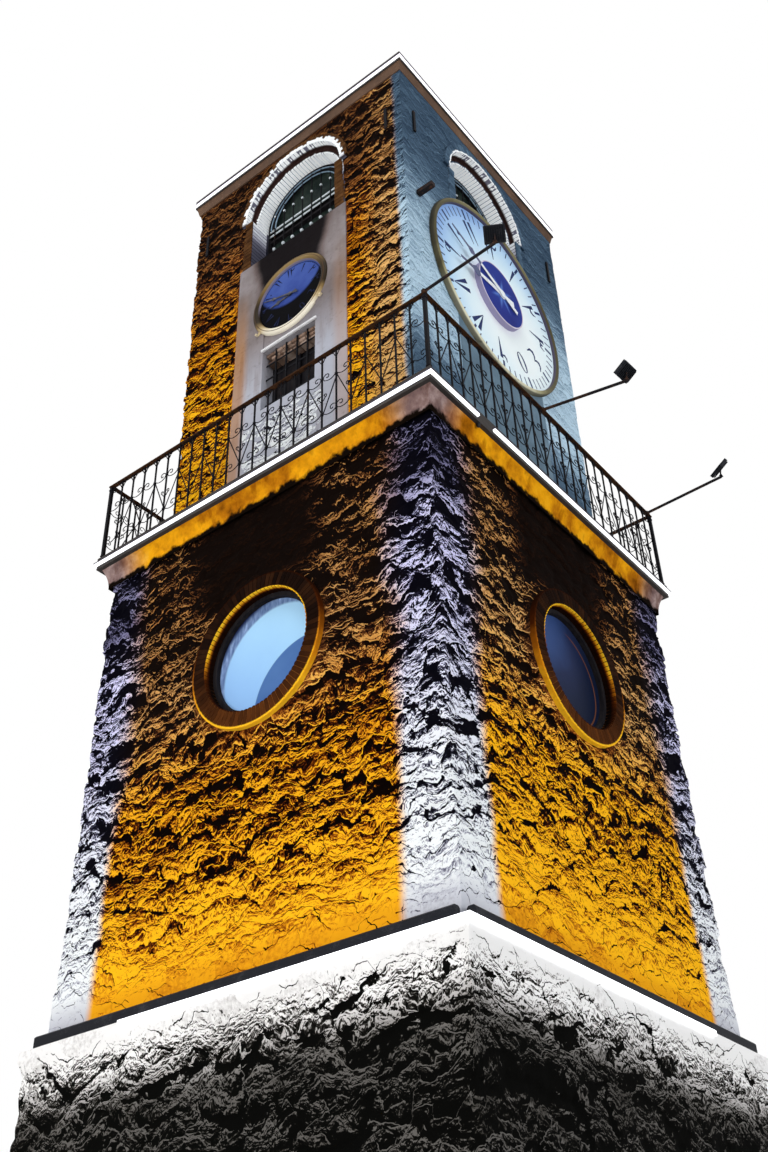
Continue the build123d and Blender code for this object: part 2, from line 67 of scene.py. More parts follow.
def makeCamera():
    yaw, pitch, roll = (math.radians(view[key]) for key in ("yaw", "pitch", "roll"))
    ahead = Vector((-math.sin(yaw) * math.cos(pitch), math.cos(yaw) * math.cos(pitch), math.sin(pitch)))
    across = Vector((math.cos(yaw), math.sin(yaw), 0))
    upward = across.cross(ahead)
    tiltedAcross = across * math.cos(roll) + upward * math.sin(roll)
    tiltedUp = upward * math.cos(roll) - across * math.sin(roll)
    data = bpy.data.cameras.new("camera")
    data.lens = view["focalPixels"] * data.sensor_width / view["longSidePixels"]
    data.clip_end = 200
    camera = bpy.data.objects.new("camera", data)
    turn = Matrix((tiltedAcross, tiltedUp, -ahead)).transposed().to_4x4()
    camera.matrix_world = Matrix.Translation(view["place"]) @ turn
    scene.collection.objects.link(camera)
    scene.camera = camera


makeCamera()


# A socket that takes Python maths
class Chan:
    def __init__(self, sheet, socket):
        self.sheet = sheet
        self.socket = socket

    def out(self, key):
        return Chan(self.sheet, self.socket.node.outputs[key])

    def __add__(self, other):
        return self.sheet.maths("ADD", self, other)

    def __radd__(self, other):
        return self.sheet.maths("ADD", other, self)

    def __sub__(self, other):
        return self.sheet.maths("SUBTRACT", self, other)

    def __rsub__(self, other):
        return self.sheet.maths("SUBTRACT", other, self)

    def __mul__(self, other):
        return self.sheet.maths("MULTIPLY", self, other)

    def __rmul__(self, other):
        return self.sheet.maths("MULTIPLY", other, self)

    def __truediv__(self, other):
        return self.sheet.maths("DIVIDE", self, other)

    def __rtruediv__(self, other):
        return self.sheet.maths("DIVIDE", other, self)

    def __abs__(self):
        return self.sheet.maths("ABSOLUTE", self)

    def atLeast(self, other):
        return self.sheet.maths("MAXIMUM", self, other)

    def atMost(self, other):
        return self.sheet.maths("MINIMUM", self, other)

    def clipped(self):
        return self.atLeast(0.0).atMost(1.0)


# A node tree to write on; put() makes any node, the rest are short forms of it
class Sheet:
    def __init__(self, tree):
        self.tree = tree

    def put(self, kind, settings=None, sockets=None):
        node = self.tree.nodes.new(kind)
        for key, value in (settings or {}).items():
            if key == "stops":
                ramp = node.color_ramp
                while len(ramp.elements) < len(value):
                    ramp.elements.new(0.5)
                for element, (place, colour) in zip(ramp.elements, value):
                    element.position = place
                    element.color = (*colour, 1.0)
            else:
                setattr(node, key, value)
        for key, value in (sockets or {}).items():
            if isinstance(value, Chan):
                self.tree.links.new(value.socket, node.inputs[key])
            elif isinstance(value, list):
                for each in value:
                    self.tree.links.new(each.socket, node.inputs[key])
            else:
                node.inputs[key].default_value = value
        return Chan(self, node.outputs[0]) if len(node.outputs) else node

    def maths(self, operation, *values):
        return self.put("ShaderNodeMath", {"operation": operation}, dict(enumerate(values)))

    def step(self, value, low, high, bottom=0.0, top=1.0):
        sockets = {"Value": value, "From Min": low, "From Max": high, "To Min": bottom, "To Max": top}
        return self.put("ShaderNodeMapRange", {"interpolation_type": "SMOOTHSTEP"}, sockets)

    def fall(self, value, low, high):
        return self.step(value, low, high, 1.0, 0.0)

    def band(self, value, low, lowTop, highTop, high):
        return self.step(value, low, lowTop) * self.fall(value, highTop, high)

    def between(self, share, first, second):
        return first + share * (second - first)

    def length(self, across, up):
        return self.maths("SQRT", across * across + up * up)

    def vector(self, operation, first, second):
        return self.put("ShaderNodeVectorMath", {"operation": operation}, {0: first, 1: second})

    def bundle(self, x, y, z):
        return self.put("ShaderNodeCombineXYZ", None, {0: x, 1: y, 2: z})

    def split(self, vector):
        x = self.put("ShaderNodeSeparateXYZ", None, {0: vector})
        return x, x.out(1), x.out(2)

    def noise(self, vector, scale, detail=3.0, roughness=0.55, space="3D"):
        sockets = {"Vector": vector, "Scale": scale, "Detail": detail, "Roughness": roughness}
        return self.put("ShaderNodeTexNoise", {"noise_dimensions": space}, sockets)

    def cells(self, vector):
        settings = {"feature": "F1", "voronoi_dimensions": "2D"}
        return self.put("ShaderNodeTexVoronoi", settings, {"Vector": vector, "Scale": 1.0, "Randomness": 1.0})

    def blend(self, share, first, second, mode="MIX"):
        first, second = ((*each, 1.0) if isinstance(each, tuple) else each for each in (first, second))
        settings = {"data_type": "RGBA", "blend_type": mode}
        return self.put("ShaderNodeMix", settings, {0: share, 6: first, 7: second}).out(2)

    def ramp(self, share, stops):
        return self.put("ShaderNodeValToRGB", {"stops": stops}, {"Fac": share})


class Finish(Sheet):
    def __init__(self, name):
        self.material = bpy.data.materials.new(name)
        self.material.use_nodes = True
        super().__init__(self.material.node_tree)
        self.tree.nodes.clear()
        self.place = self.put("ShaderNodeTexCoord").out("Object")

    def attribute(self, name, output="Fac"):
        return self.put("ShaderNodeAttribute", {"attribute_name": name}).out(output)

    def xyz(self):
        return self.split(self.place)

    def onWall(self):
        # Across a wall, out from the tower's axis and up, the same on all four sides
        x, y, z = self.xyz()
        return abs(x).atMost(abs(y)), abs(x).atLeast(abs(y)), z

    def grain(self, scale, detail=3.0, roughness=0.55, stretch=None):
        place = self.vector("MULTIPLY", self.place, stretch) if stretch else self.place
        return self.noise(place, scale, detail, roughness)

    def close(self, colour, roughness, bump=None, depth=0.002, shine=0.02, metallic=0.0, glow=None):
        sockets = {
            "Base Color": (*colour, 1.0) if isinstance(colour, tuple) else colour,
            "Roughness": roughness, "Specular IOR Level": shine, "Metallic": metallic}
        if bump is not None:
            sockets["Normal"] = self.put("ShaderNodeBump", None, {"Height": bump, "Distance": depth, "Strength": 1.0})
        if glow:
            sockets["Emission Color"], sockets["Emission Strength"] = glow
        surface = self.put("ShaderNodeBsdfPrincipled", None, sockets)
        self.put("ShaderNodeOutputMaterial", None, {"Surface": surface})
        return self.material


# Geometry Nodes helpers
def startTree(name, inputs):
    tree = bpy.data.node_groups.new(name, "GeometryNodeTree")
    kinds = {"number": "NodeSocketFloat", "count": "NodeSocketInt", "material": "NodeSocketMaterial"}
    tree.interface.new_socket("Geometry", in_out="INPUT", socket_type="NodeSocketGeometry")
    for label, kind in inputs.items():
        tree.interface.new_socket(label, in_out="INPUT", socket_type=kinds[kind])
    tree.interface.new_socket("Geometry", in_out="OUTPUT", socket_type="NodeSocketGeometry")
    sheet = Sheet(tree)
    return sheet, sheet.put("NodeGroupInput")


def endTree(sheet, entry, geometry):
    solid = sheet.put("GeometryNodeRealizeInstances", None, {"Geometry": geometry})
    coated = sheet.put("GeometryNodeSetMaterial", None, {"Geometry": solid, "Material": entry.out("Material")})
    sheet.put("NodeGroupOutput", None, {0: coated})
    return sheet.tree


def objectFor(mesh, name):
    made = bpy.data.objects.new(name, mesh)
    scene.collection.objects.link(made)
    return made


def grown(mesh, tree, values):
    carrier = objectFor(mesh, "carrier")
    modifier = carrier.modifiers.new("grown", "NODES")
    modifier.node_group = tree
    for item in tree.interface.items_tree:
        if item.in_out == "INPUT" and item.name in values:
            modifier[item.identifier] = values[item.name]
    result = bpy.data.meshes.new_from_object(carrier.evaluated_get(bpy.context.evaluated_depsgraph_get()))
    bpy.data.objects.remove(carrier)
    return result


def bareMesh(points=(), edges=(), faces=()):
    mesh = bpy.data.meshes.new("bare")
    mesh.from_pydata(points, edges, faces)
    return mesh


def joined(meshes):
    shape = bmesh.new()
    for mesh in meshes:
        shape.from_mesh(mesh)
    whole = bpy.data.meshes.new("joined")
    shape.to_mesh(whole)
    shape.free()
    for material in meshes[0].materials:
        whole.materials.append(material)
    return whole


def onSides(mesh, which=sides):
    copies = []
    for side in which:
        copy = mesh.copy()
        copy.transform(Matrix.Rotation(math.radians(sides[side]), 4, "Z"))
        copies.append(copy)
    return joined(copies)


def onWindows(mesh):
    moved = mesh.copy()
    moved.transform(Matrix.Translation((windowShift, 0, 0)))
    return joined([moved, onSides(mesh, ("right", "back", "left"))])


def settle(mesh, name, stands=()):
    mesh.name = name
    made = objectFor(mesh, name)
    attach(made, towerBody)
    if stands:
        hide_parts(*stands)


def coat(material, *nodes):
    for node in nodes:
        part = frame["nodes"][node]
        part.data.materials.clear()
        part.data.materials.append(material)


# Solids in mesh code; every call adds a closed shell, placed by a matrix
class Maker:
    def __init__(self, seed=1):
        self.shape = bmesh.new()
        self.tint = self.shape.verts.layers.float.new("tint")
        self.chance = random.Random(seed)

    def shell(self, points, faces, placed=Matrix()):
        verts = [self.shape.verts.new(placed @ Vector(point)) for point in points]
        shade = self.chance.random()
        for vert in verts:
            vert[self.tint] = shade
        made = [self.shape.faces.new([verts[index] for index in face]) for face in faces]
        bmesh.ops.recalc_face_normals(self.shape, faces=made)
        return made

    def block(self, centre, size, bevel=0.0, turn=Matrix()):
        x, y, z = (value / 2 for value in size)
        points = [(a * x, b * y, c * z) for a in (-1, 1) for b in (-1, 1) for c in (-1, 1)]
        faces = [(0, 1, 3, 2), (4, 6, 7, 5), (0, 4, 5, 1), (2, 3, 7, 6), (0, 2, 6, 4), (1, 5, 7, 3)]
        made = self.shell(points, faces, Matrix.Translation(centre) @ turn.to_4x4())
        if bevel:
            edges = list({edge for face in made for edge in face.edges})
            bmesh.ops.bevel(self.shape, geom=edges, offset=bevel, segments=1, affect="EDGES")

    def prism(self, outline, low, high, placed=Matrix()):
        count = len(outline)
        points = [(u, v, level) for level in (low, high) for u, v in outline]
        faces = [tuple(range(count))[::-1], tuple(range(count, 2 * count))]
        faces += [(i, (i + 1) % count, count + (i + 1) % count, count + i) for i in range(count)]
        self.shell(points, faces, placed)

    def lathe(self, profile, segments, placed=Matrix()):
        rings, points = [], []
        for radius, level in profile:
            if radius < 1e-6:
                rings.append([len(points)])
                points.append((0, 0, level))
            else:
                rings.append(list(range(len(points), len(points) + segments)))
                for k in range(segments):
                    angle = 2 * math.pi * k / segments
                    points.append((radius * math.cos(angle), radius * math.sin(angle), level))
        faces = []
        closed = len(rings[0]) > 1 and len(rings[-1]) > 1
        pairs = list(zip(rings, rings[1:] + (rings[:1] if closed else [])))
        for first, second in pairs if closed else pairs[:len(rings) - 1]:
            for k in range(segments):
                a, b = first[k % len(first)], first[(k + 1) % len(first)]
                c, d = second[(k + 1) % len(second)], second[k % len(second)]
                face = [a] + ([b] if b != a else []) + [c] + ([d] if d != c else [])
                faces.append(tuple(face))
        self.shell(points, faces, placed)

    def tube(self, line, radius, around=8):
        line = [Vector(point) for point in line]
        points, faces = [], []
        side = None
        for k, point in enumerate(line):
            ahead = (line[min(k + 1, len(line) - 1)] - line[max(k - 1, 0)]).normalized()
            if side is None:
                side = ahead.orthogonal().normalized()
            side = (side - ahead * side.dot(ahead)).normalized()
            other = ahead.cross(side)
            for j in range(around):
                angle = 2 * math.pi * (j + 0.5) / around
                points.append(point + (side * math.cos(angle) + other * math.sin(angle)) * radius)
        for k in range(len(line) - 1):
            for j in range(around):
                a, b = k * around + j, k * around + (j + 1) % around
                faces.append((a, b, b + around, a + around))
        faces.append(tuple(range(around))[::-1])
        faces.append(tuple(range(len(points) - around, len(points))))
        self.shell(points, faces)

    def done(self, material, smoothBelow=None):
        mesh = bpy.data.meshes.new("made")
        self.shape.to_mesh(mesh)
        self.shape.free()
        mesh.materials.append(material)
        if smoothBelow:
            mesh.shade_smooth()
            mesh.set_sharp_from_angle(angle=math.radians(smoothBelow))
        return mesh


def onFace(distance, x=0.0, z=0.0):
    # Local x runs right, local y runs up and local z comes out of the front face
    return Matrix(((1, 0, 0, x), (0, 0, -1, -distance), (0, 1, 0, z), (0, 0, 0, 1)))


# Rubble walls: one height rule gives the relief in the mesh and the raking light in the finish
holes = dict(window=0.672, arch=0.772, bay=0.72, bayBelow=0.78, bayStep=13.10, door=0.60, doorSpring=1.70)
stages = {
    "base": dict(
        low=0.0, high=4.5, footHalf=2.19, topHalf=2.145, innerHalf=1.195, cell=(0.036, 0.026),
        columns=(holes["door"],), rows=(holes["doorSpring"],), fades=((4.42, 4.30, 0.08), (0.0, 0.3, 0.45)),
        stone=(0.40, 0.24), chip=(0.15, 0.09), relief=0.070, drawn=0.060, contrast=2.0),
    "middle": dict(
        low=4.5, high=9.18, footHalf=2.012, topHalf=1.982, innerHalf=1.245, cell=(0.027, 0.018),
        columns=(), rows=(), fades=((4.62, 5.57, 0.28), (9.12, 8.87, 0.55)),
        stone=(0.27, 0.165), chip=(0.105, 0.066), relief=0.062, drawn=0.050, contrast=2.0),
    "upper": dict(
        low=9.32, high=14.84, footHalf=1.61, topHalf=1.61, innerHalf=1.01, cell=(0.027, 0.019),
        columns=(holes["bay"], holes["bayBelow"]), rows=(holes["bayStep"],),
        fades=((14.82, 14.70, 0.40), (9.33, 9.43, 0.35)),
        stone=(0.24, 0.12), chip=(0.10, 0.05), relief=0.046, drawn=0.038, contrast=1.4),
}
wallShape = dict(
    skim=0.003, cornerBand=0.14, seamBand=0.08, calmRightSide=0.28, ringEdge=(0.74, 0.86, 0.30),
    bayEdge=(0.79, 0.86, 0.35), bayHigh=13.12, bayWide=1.1, sharpAngle=55)
stoneShape = dict(stone=(0.60, 0.50, 0.30), chip=(0.30, 0.30, 0.15), grain=0.40, middle=0.80, spread=0.55)
shadowSteps = (0.008, 0.024, 0.050, 0.090, 0.150)
bends = ((1.6, (0.25, 0.25, 0.0)), (7.0, (0.10, 0.08, 0.0)), (36.0, (0.013, 0.011, 0.0)))
unrolled = {"front": -1, "right": 1, "back": 3, "left": -3}
tiny = 1e-5


def warped(sheet, plan):
    bent = plan
    for scale, reach in bends:
        wave = sheet.vector("SUBTRACT", sheet.noise(plan, scale, 2.0, 0.5, "2D").out("Color"), (0.5, 0.5, 0.5))
        bent = sheet.vector("ADD", bent, sheet.vector("MULTIPLY", wave, reach))
    return bent


def facets(sheet, spot, cell, rise, lean, dome):
    scaled = sheet.vector("MULTIPLY", spot, (1 / cell[0], 1 / cell[1], 0.0))
    near = sheet.cells(scaled)
    first, second, third = sheet.split(near.out("Color"))
    across, upward, _ = sheet.split(sheet.vector("SUBTRACT", scaled, near.out("Position")))
    tilted = lean * (across * (first - 0.5) + upward * (second - 0.5))
    return rise * third + tilted + dome * (1.0 - 1.1 * near * near), first


def stoneHeight(sheet, spot, size, grainShare=1.0):
    stone, chance = facets(sheet, spot, size["stone"], *stoneShape["stone"])
    chip = facets(sheet, spot, size["chip"], *stoneShape["chip"])[0]
    grain = sheet.noise(spot, 26.0, 3.0, 0.6, "2D")
    return stone + chip + grainShare * stoneShape["grain"] * (grain - 0.5), chance


def rakingLight(sheet, spot, size, relief, slant, upward):
    # Light from far below (upward 1) or above (-1): what stands out more on the way there casts a shadow
    here, chance = stoneHeight(sheet, spot, size)
    over, facing = None, None
    for distance in shadowSteps:
        there = stoneHeight(sheet, sheet.vector("ADD", spot, (0.0, -upward * distance, 0.0)), size)[0]
        if facing is None:
            facing = (0.44 + 1.5 * (here - there) * relief / distance + 0.9 * slant).clipped()
        rise = (there - here) * relief - distance * slant
        over = rise if over is None else over.atLeast(rise)
    return sheet.fall(over, -0.003, 0.006) * (0.34 + 0.66 * facing), here, chance


def rubbleTree(size):
    sheet, entry = startTree("rubble", {"Relief": "number", "Skim": "number", "Material": "material"})
    read = {}
    for name, kind in (("plan", "FLOAT_VECTOR"), ("push", "FLOAT_VECTOR"), ("hold", "FLOAT")):
        read[name] = sheet.put("GeometryNodeInputNamedAttribute", {"data_type": kind}, {"Name": name})
    height = stoneHeight(sheet, warped(sheet, read["plan"]), size, 0.3)[0]
    level = (0.5 + stoneShape["spread"] * (height - stoneShape["middle"])).clipped()
    sunk = entry.out("Skim") + entry.out("Relief") * (1 - level) * read["hold"]
    offset = sheet.put("ShaderNodeVectorMath", {"operation": "SCALE"}, {0: read["push"], "Scale": sunk})
    moved = sheet.put("GeometryNodeSetPosition", None, {"Geometry": entry, "Offset": offset})
    return endTree(sheet, entry, moved)


# Flat grids that the rubble rule pushes about
def lines(low, high, cell, stops=()):
    places = sorted({low, high, *(stop for stop in stops if low < stop < high)})
    made = [np.linspace(a, b, max(2, round((b - a) / cell) + 1))[:-1] for a, b in zip(places, places[1:])]
    return np.append(np.concatenate(made), high)


def gridOf(across, upward):
    gridX, gridZ = np.meshgrid(across, upward)
    number = np.arange(gridX.size).reshape(gridX.shape)
    corners = (number[:-1, :-1], number[:-1, 1:], number[1:, 1:], number[1:, :-1])
    return gridX.ravel(), gridZ.ravel(), number, np.stack(corners, axis=-1).reshape(-1, 4)


def triples(x, y, z):
    return np.stack(np.broadcast_arrays(x, y, z), axis=1)


def risen(value, start, end, least):
    return least + (1 - least) * np.clip((value - start) / (end - start), 0, 1)


def closeUp(mesh):
    # Fills what is open and turns every face outward
    shape = bmesh.new()
    shape.from_mesh(mesh)
    gaps = [edge for edge in shape.edges if edge.is_boundary]
    if gaps:
        bmesh.ops.triangle_fill(shape, use_beauty=False, use_dissolve=False, edges=gaps)
    bmesh.ops.recalc_face_normals(shape, faces=shape.faces)
    shape.to_mesh(mesh)
    shape.free()


def record(mesh, **values):
    for name, value in values.items():
        kind, key = ("FLOAT", "value") if value.ndim == 1 else ("FLOAT_VECTOR", "vector")
        layer = mesh.attributes.new(name, kind, "POINT")
        layer.data.foreach_set(key, value.astype(np.float32).ravel())


def fromWindow(side, x, z):
    return np.hypot(x - (windowShift if side == "front" else 0.0), z - windowHeight)


def inHole(stage, side, x, z):
    wide = np.abs(x)
    if stage == "middle":
        return fromWindow(side, x, z) < holes["window"]
    if stage == "upper":
        arch = (np.hypot(x, z - archSpring) < holes["arch"]) & (z > archSpring)
        bay = (wide < holes["bay"]) & (z < archSpring)
        return arch | bay | ((wide < holes["bayBelow"]) & (z < holes["bayStep"]))
    if side == "front":
        doorway = (wide < holes["door"]) & (z < holes["doorSpring"])
        return doorway | (np.hypot(x, z - holes["doorSpring"]) < holes["door"])
    return np.zeros_like(x, dtype=bool)


def wallHold(stage, side, x, z, half):
    # How far the relief is let out: less by ledges, rings, bays and seams
    hold = np.ones_like(x)
    for start, end, least in stages[stage]["fades"]:
        hold *= risen(z, start, end, least)
    if stage == "middle":
        hold *= risen(fromWindow(side, x, z), *wallShape["ringEdge"])
    if stage == "upper":
        if side == "right":
            hold *= wallShape["calmRightSide"]
        inBay = (z < wallShape["bayHigh"]) & (np.abs(x) < wallShape["bayWide"])
        hold *= np.where(inBay, risen(np.abs(x), *wallShape["bayEdge"]), 1)
    if side in ("back", "left"):
        seam = half - x if side == "back" else half + x
        hold *= np.clip(seam / wallShape["seamBand"], 0, 1)
    return hold


def wallSolid(stage, side):
    size = stages[stage]
    foot, low, high, innerHalf = (size[key] for key in ("footHalf", "low", "high", "innerHalf"))
    stops = [stop * sign for stop in size["columns"] for sign in (-1, 1)]
    upward = lines(low, high, size["cell"][1], size["rows"])
    x, z, number, quads = gridOf(lines(-foot, foot, size["cell"][0], stops), upward)
    half = foot + (size["topHalf"] - foot) * (z - low) / (high - low)
    x = x * half / foot
    quads = quads[~inHole(stage, side, x[quads].mean(axis=1), z[quads].mean(axis=1))]
    used = np.unique(quads)
    renumber = np.zeros(len(x), dtype=int)
    renumber[used] = np.arange(len(used))
    quads, x, z, half = renumber[quads], x[used], z[used], half[used]
    sideways = np.clip(1 - (half - np.abs(x)) / wallShape["cornerBand"], 0, 1)
    sideways = sideways * sideways * (3 - 2 * sideways)
    push = triples(-np.sign(x) * sideways, 1.0, 0.0)
    plan = triples(unrolled[side] * half + x, z, 0.0)

    # The open edges are drawn in to the inner face, and that face is closed
    pairs = np.concatenate([quads[:, [k, (k + 1) % 4]] for k in range(4)])
    where, times = np.unique(np.sort(pairs, axis=1), axis=0, return_index=True, return_counts=True)[1:]
    first, second = pairs[where[times == 1]].T
    rim = np.unique((first, second))
    inner = np.full(len(x), -1)
    inner[rim] = len(x) + np.arange(len(rim))
    rimX, rimZ, rimHalf = x[rim], z[rim], half[rim]
    goesUp = 1.0 * (rimZ > high - tiny) - (rimZ < low + tiny)
    outerEdge = (np.abs(np.abs(rimX) - rimHalf) < tiny) | (goesUp != 0)
    innerX = np.where(outerEdge, rimX * (innerHalf / rimHalf), rimX)
    reach = rimHalf - innerHalf
    innerPlan = plan[rim] + triples(np.where(goesUp == 0, reach, 0), goesUp * reach, 0.0)
    points = np.concatenate((triples(x, -half, z), triples(innerX, -innerHalf, rimZ)))
    walls = np.stack((second, first, inner[first], inner[second]), axis=1)
    mesh = bareMesh(points.tolist(), [], np.concatenate((quads, walls)).tolist())
    closeUp(mesh)
    turn = Matrix.Rotation(math.radians(sides[side]), 4, "Z")
    still = np.zeros(len(rim))
    record(
        mesh, push=np.concatenate((push, triples(still, 0.0, 0.0))) @ np.array(turn.to_3x3()).T,
        plan=np.concatenate((plan, innerPlan)), hold=np.concatenate((wallHold(stage, side, x, z, half), still)))
    mesh.transform(turn)
    return mesh


# Painted light, from unlit to full, on what it falls on
amberLight = [
    (0.0, (0.0020, 0.0006, 0.0004)), (0.15, (0.020, 0.0030, 0.0005)), (0.30, (0.074, 0.0120, 0.0010)),
    (0.46, (0.205, 0.044, 0.0022)), (0.64, (0.470, 0.150, 0.005)), (0.82, (0.72, 0.290, 0.008)),
    (1.0, (0.95, 0.48, 0.010))]
tanLight = [
    (0.0, (0.0045, 0.0022, 0.0014)), (0.20, (0.026, 0.011, 0.005)), (0.45, (0.125, 0.056, 0.020)),
    (0.70, (0.36, 0.19, 0.070)), (1.0, (0.66, 0.42, 0.20))]
whiteLight = [
    (0.0, (0.0018, 0.0016, 0.0034)), (0.15, (0.015, 0.015, 0.026)), (0.32, (0.078, 0.078, 0.110)),
    (0.50, (0.25, 0.25, 0.32)), (0.72, (0.55, 0.57, 0.63)), (1.0, (0.84, 0.87, 0.88))]
blueLight = [
    (0.0, (0.0025, 0.006, 0.014)), (0.25, (0.024, 0.046, 0.080)), (0.50, (0.10, 0.165, 0.24)),
    (0.75, (0.29, 0.42, 0.54)), (1.0, (0.50, 0.67, 0.79))]
greyLight = [
    (0.0, (0.0022, 0.0022, 0.0019)), (0.18, (0.012, 0.011, 0.009)), (0.36, (0.050, 0.046, 0.041)),
    (0.55, (0.17, 0.16, 0.15)), (0.76, (0.48, 0.46, 0.45)), (1.0, (0.86, 0.85, 0.84))]


# What the three rubble finishes share
class RubbleFinish(Finish):
    def __init__(self, stage):
        super().__init__(stage + "Rubble")
        self.size = stages[stage]
        self.hold = self.attribute("hold")
        self.patches = self.grain(1.1, 4.0, 0.6)
        self.speckle = self.grain(30.0, 3.0, 0.65)

    def rake(self, share, slant, upward):
        spot = warped(self, self.attribute("plan", "Vector"))
        drawn = self.size["drawn"] * share
        self.light, self.height, self.chance = rakingLight(self, spot, self.size, drawn, slant, upward)

    def ragged(self):
        return 0.5 * (self.patches - 0.5) + 0.16 * (self.speckle - 0.5)

    def amount(self, cut, bright):
        texture = 0.72 + 0.28 * self.patches + 0.30 * self.speckle + 0.14 * (self.chance - 0.5)
        lit = ((self.light * texture - cut) / (1 - cut)).clipped()
        return (self.maths("POWER", lit, self.size["contrast"]) * bright).clipped()

    def warm(self, tanned, amount):
        return self.blend(tanned, self.ramp(amount, amberLight), self.ramp(amount, tanLight))

    def laid(self, colour):
        bump = self.height * 0.5 + self.speckle * 0.25 + self.grain(110.0, 2.0) * 0.08
        return self.close(colour, 0.90 + 0.08 * self.speckle, bump, 0.012)


def baseFinish():
    # White light from the strip under the ledge, gone a metre below it
    finish = RubbleFinish("base")
    z = finish.xyz()[2]
    finish.rake(0.4 + 0.6 * finish.hold, 0.10 / (4.47 - z).atLeast(0.03), -1)
    cut, bright = finish.step(z, 3.75, 4.1, 0.45, 0.0), finish.step(z, 3.80, 4.28, 0.46, 1.05)
    return finish.laid(finish.ramp(finish.amount(cut, bright), greyLight))


def middleFinish():
    # Painted light: amber light rising on the wall and brighter low on the side walls, white light on its corners, and
    # a painted shadow over the window, under the cove
    finish = RubbleFinish("middle")
    x, y, z = finish.xyz()
    toCorner = abs(x).atMost(abs(y))
    finish.rake(finish.hold, 0.24 / (z - 4.40).atLeast(0.05) + 0.012, 1)
    low = finish.step(z, 5.6, 7.6, 0.10, 1.0)
    pale = finish.step(toCorner + low * finish.ragged(), 1.50 - 0.18 * low, 1.58 + 0.10 * low)
    bright = finish.step(z, 4.7, 5.1, 0.88, 1.25) * finish.step(z, 5.15, 5.7, 1.0, 0.76)
    bright = bright * finish.step(z, 6.8, 8.2, 1.0, 0.80)
    onSide = finish.step(abs(x) - abs(y), -0.1, 0.1) * finish.step(z, 4.7, 5.5) * finish.step(z, 6.2, 7.2, 1.0, 0.3)
    bright = bright * (1 + 0.34 * onSide)
    paleBright = finish.step(z, 4.6, 5.3, 0.68, 1.55) * finish.step(z, 5.9, 6.5, 1.0, 0.74)
    paleBright = paleBright * finish.step(z, 7.8, 8.4, 1.0, 0.46)
    paleCut = finish.step(z, 6.0, 7.0, 0.0, 0.16) + finish.step(z, 7.8, 8.3, 0.0, 0.24)
    cut = finish.between(pale, finish.step(z, 6.7, 8.1, 0.0, 0.52), paleCut)
    # Painted shadow over the window, as cast up by its ring
    shaded = finish.fall(toCorner + 0.5 * (finish.patches - 0.5), 0.50, 0.95) * finish.step(z, 7.9, 8.15)
    amount = finish.amount(cut, finish.between(pale, bright, paleBright) * (1 - 0.93 * shaded))
    violet = finish.step(z, 5.2, 7.6)
    white = finish.blend(violet, finish.ramp(amount, whiteLight), (0.78, 0.74, 1.0), "MULTIPLY")
    return finish.laid(finish.blend(pale, finish.warm(finish.step(z, 6.2, 7.4) * 0.75, amount), white))


def upperFinish():
    # Amber light that turns tan higher up and towards the right-hand corner; blue-white on the right side
    finish = RubbleFinish("upper")
    x, y, z = finish.xyz()
    onRight, byRight = finish.step(x, 1.44, 1.52), finish.step(x, 0.9, 1.3)
    slant = 0.24 / (z - 9.15).atLeast(0.05) + 0.012 + 0.16 * onRight
    finish.rake(finish.hold * (1 - 0.35 * onRight), slant, 1)
    leftBright = finish.step(z, 11.4, 12.3, 1.14, 0.84) * finish.step(z, 12.9, 13.8, 1.0, 0.66)
    bright = finish.between(byRight, leftBright, finish.step(z, 11.4, 13.8, 1.36, 0.92))
    glow = finish.step(z, 10.1, 11.3, 0.50, 1.30) * finish.step(z, 12.0, 13.7, 1.0, 0.40)
    amount = finish.amount(0.06 * (1 - onRight), finish.between(onRight, bright, glow))
    tanned = finish.step(z + finish.ragged(), 12.4, 14.0, 0.0, 0.7).atLeast(0.75 * byRight)
    return finish.laid(finish.blend(onRight, finish.warm(tanned, amount), finish.ramp(amount, blueLight)))


rubbleTrees = {stage: rubbleTree(size) for stage, size in stages.items()}
rubbleFinishes = {"base": baseFinish(), "middle": middleFinish(), "upper": upperFinish()}


def raiseWalls():
    for stage, size in stages.items():
        for side in sides:
            values = {"Relief": size["relief"], "Skim": wallShape["skim"], "Material": rubbleFinishes[stage]}
            mesh = grown(wallSolid(stage, side), rubbleTrees[stage], values)
            mesh.shade_smooth()
            mesh.set_sharp_from_angle(angle=math.radians(wallShape["sharpAngle"]))
            settle(mesh, f"{stage}Wall.{side}", (f"{stage}_wall_{side}",))
        print(stage, "walls raised")


raiseWalls()


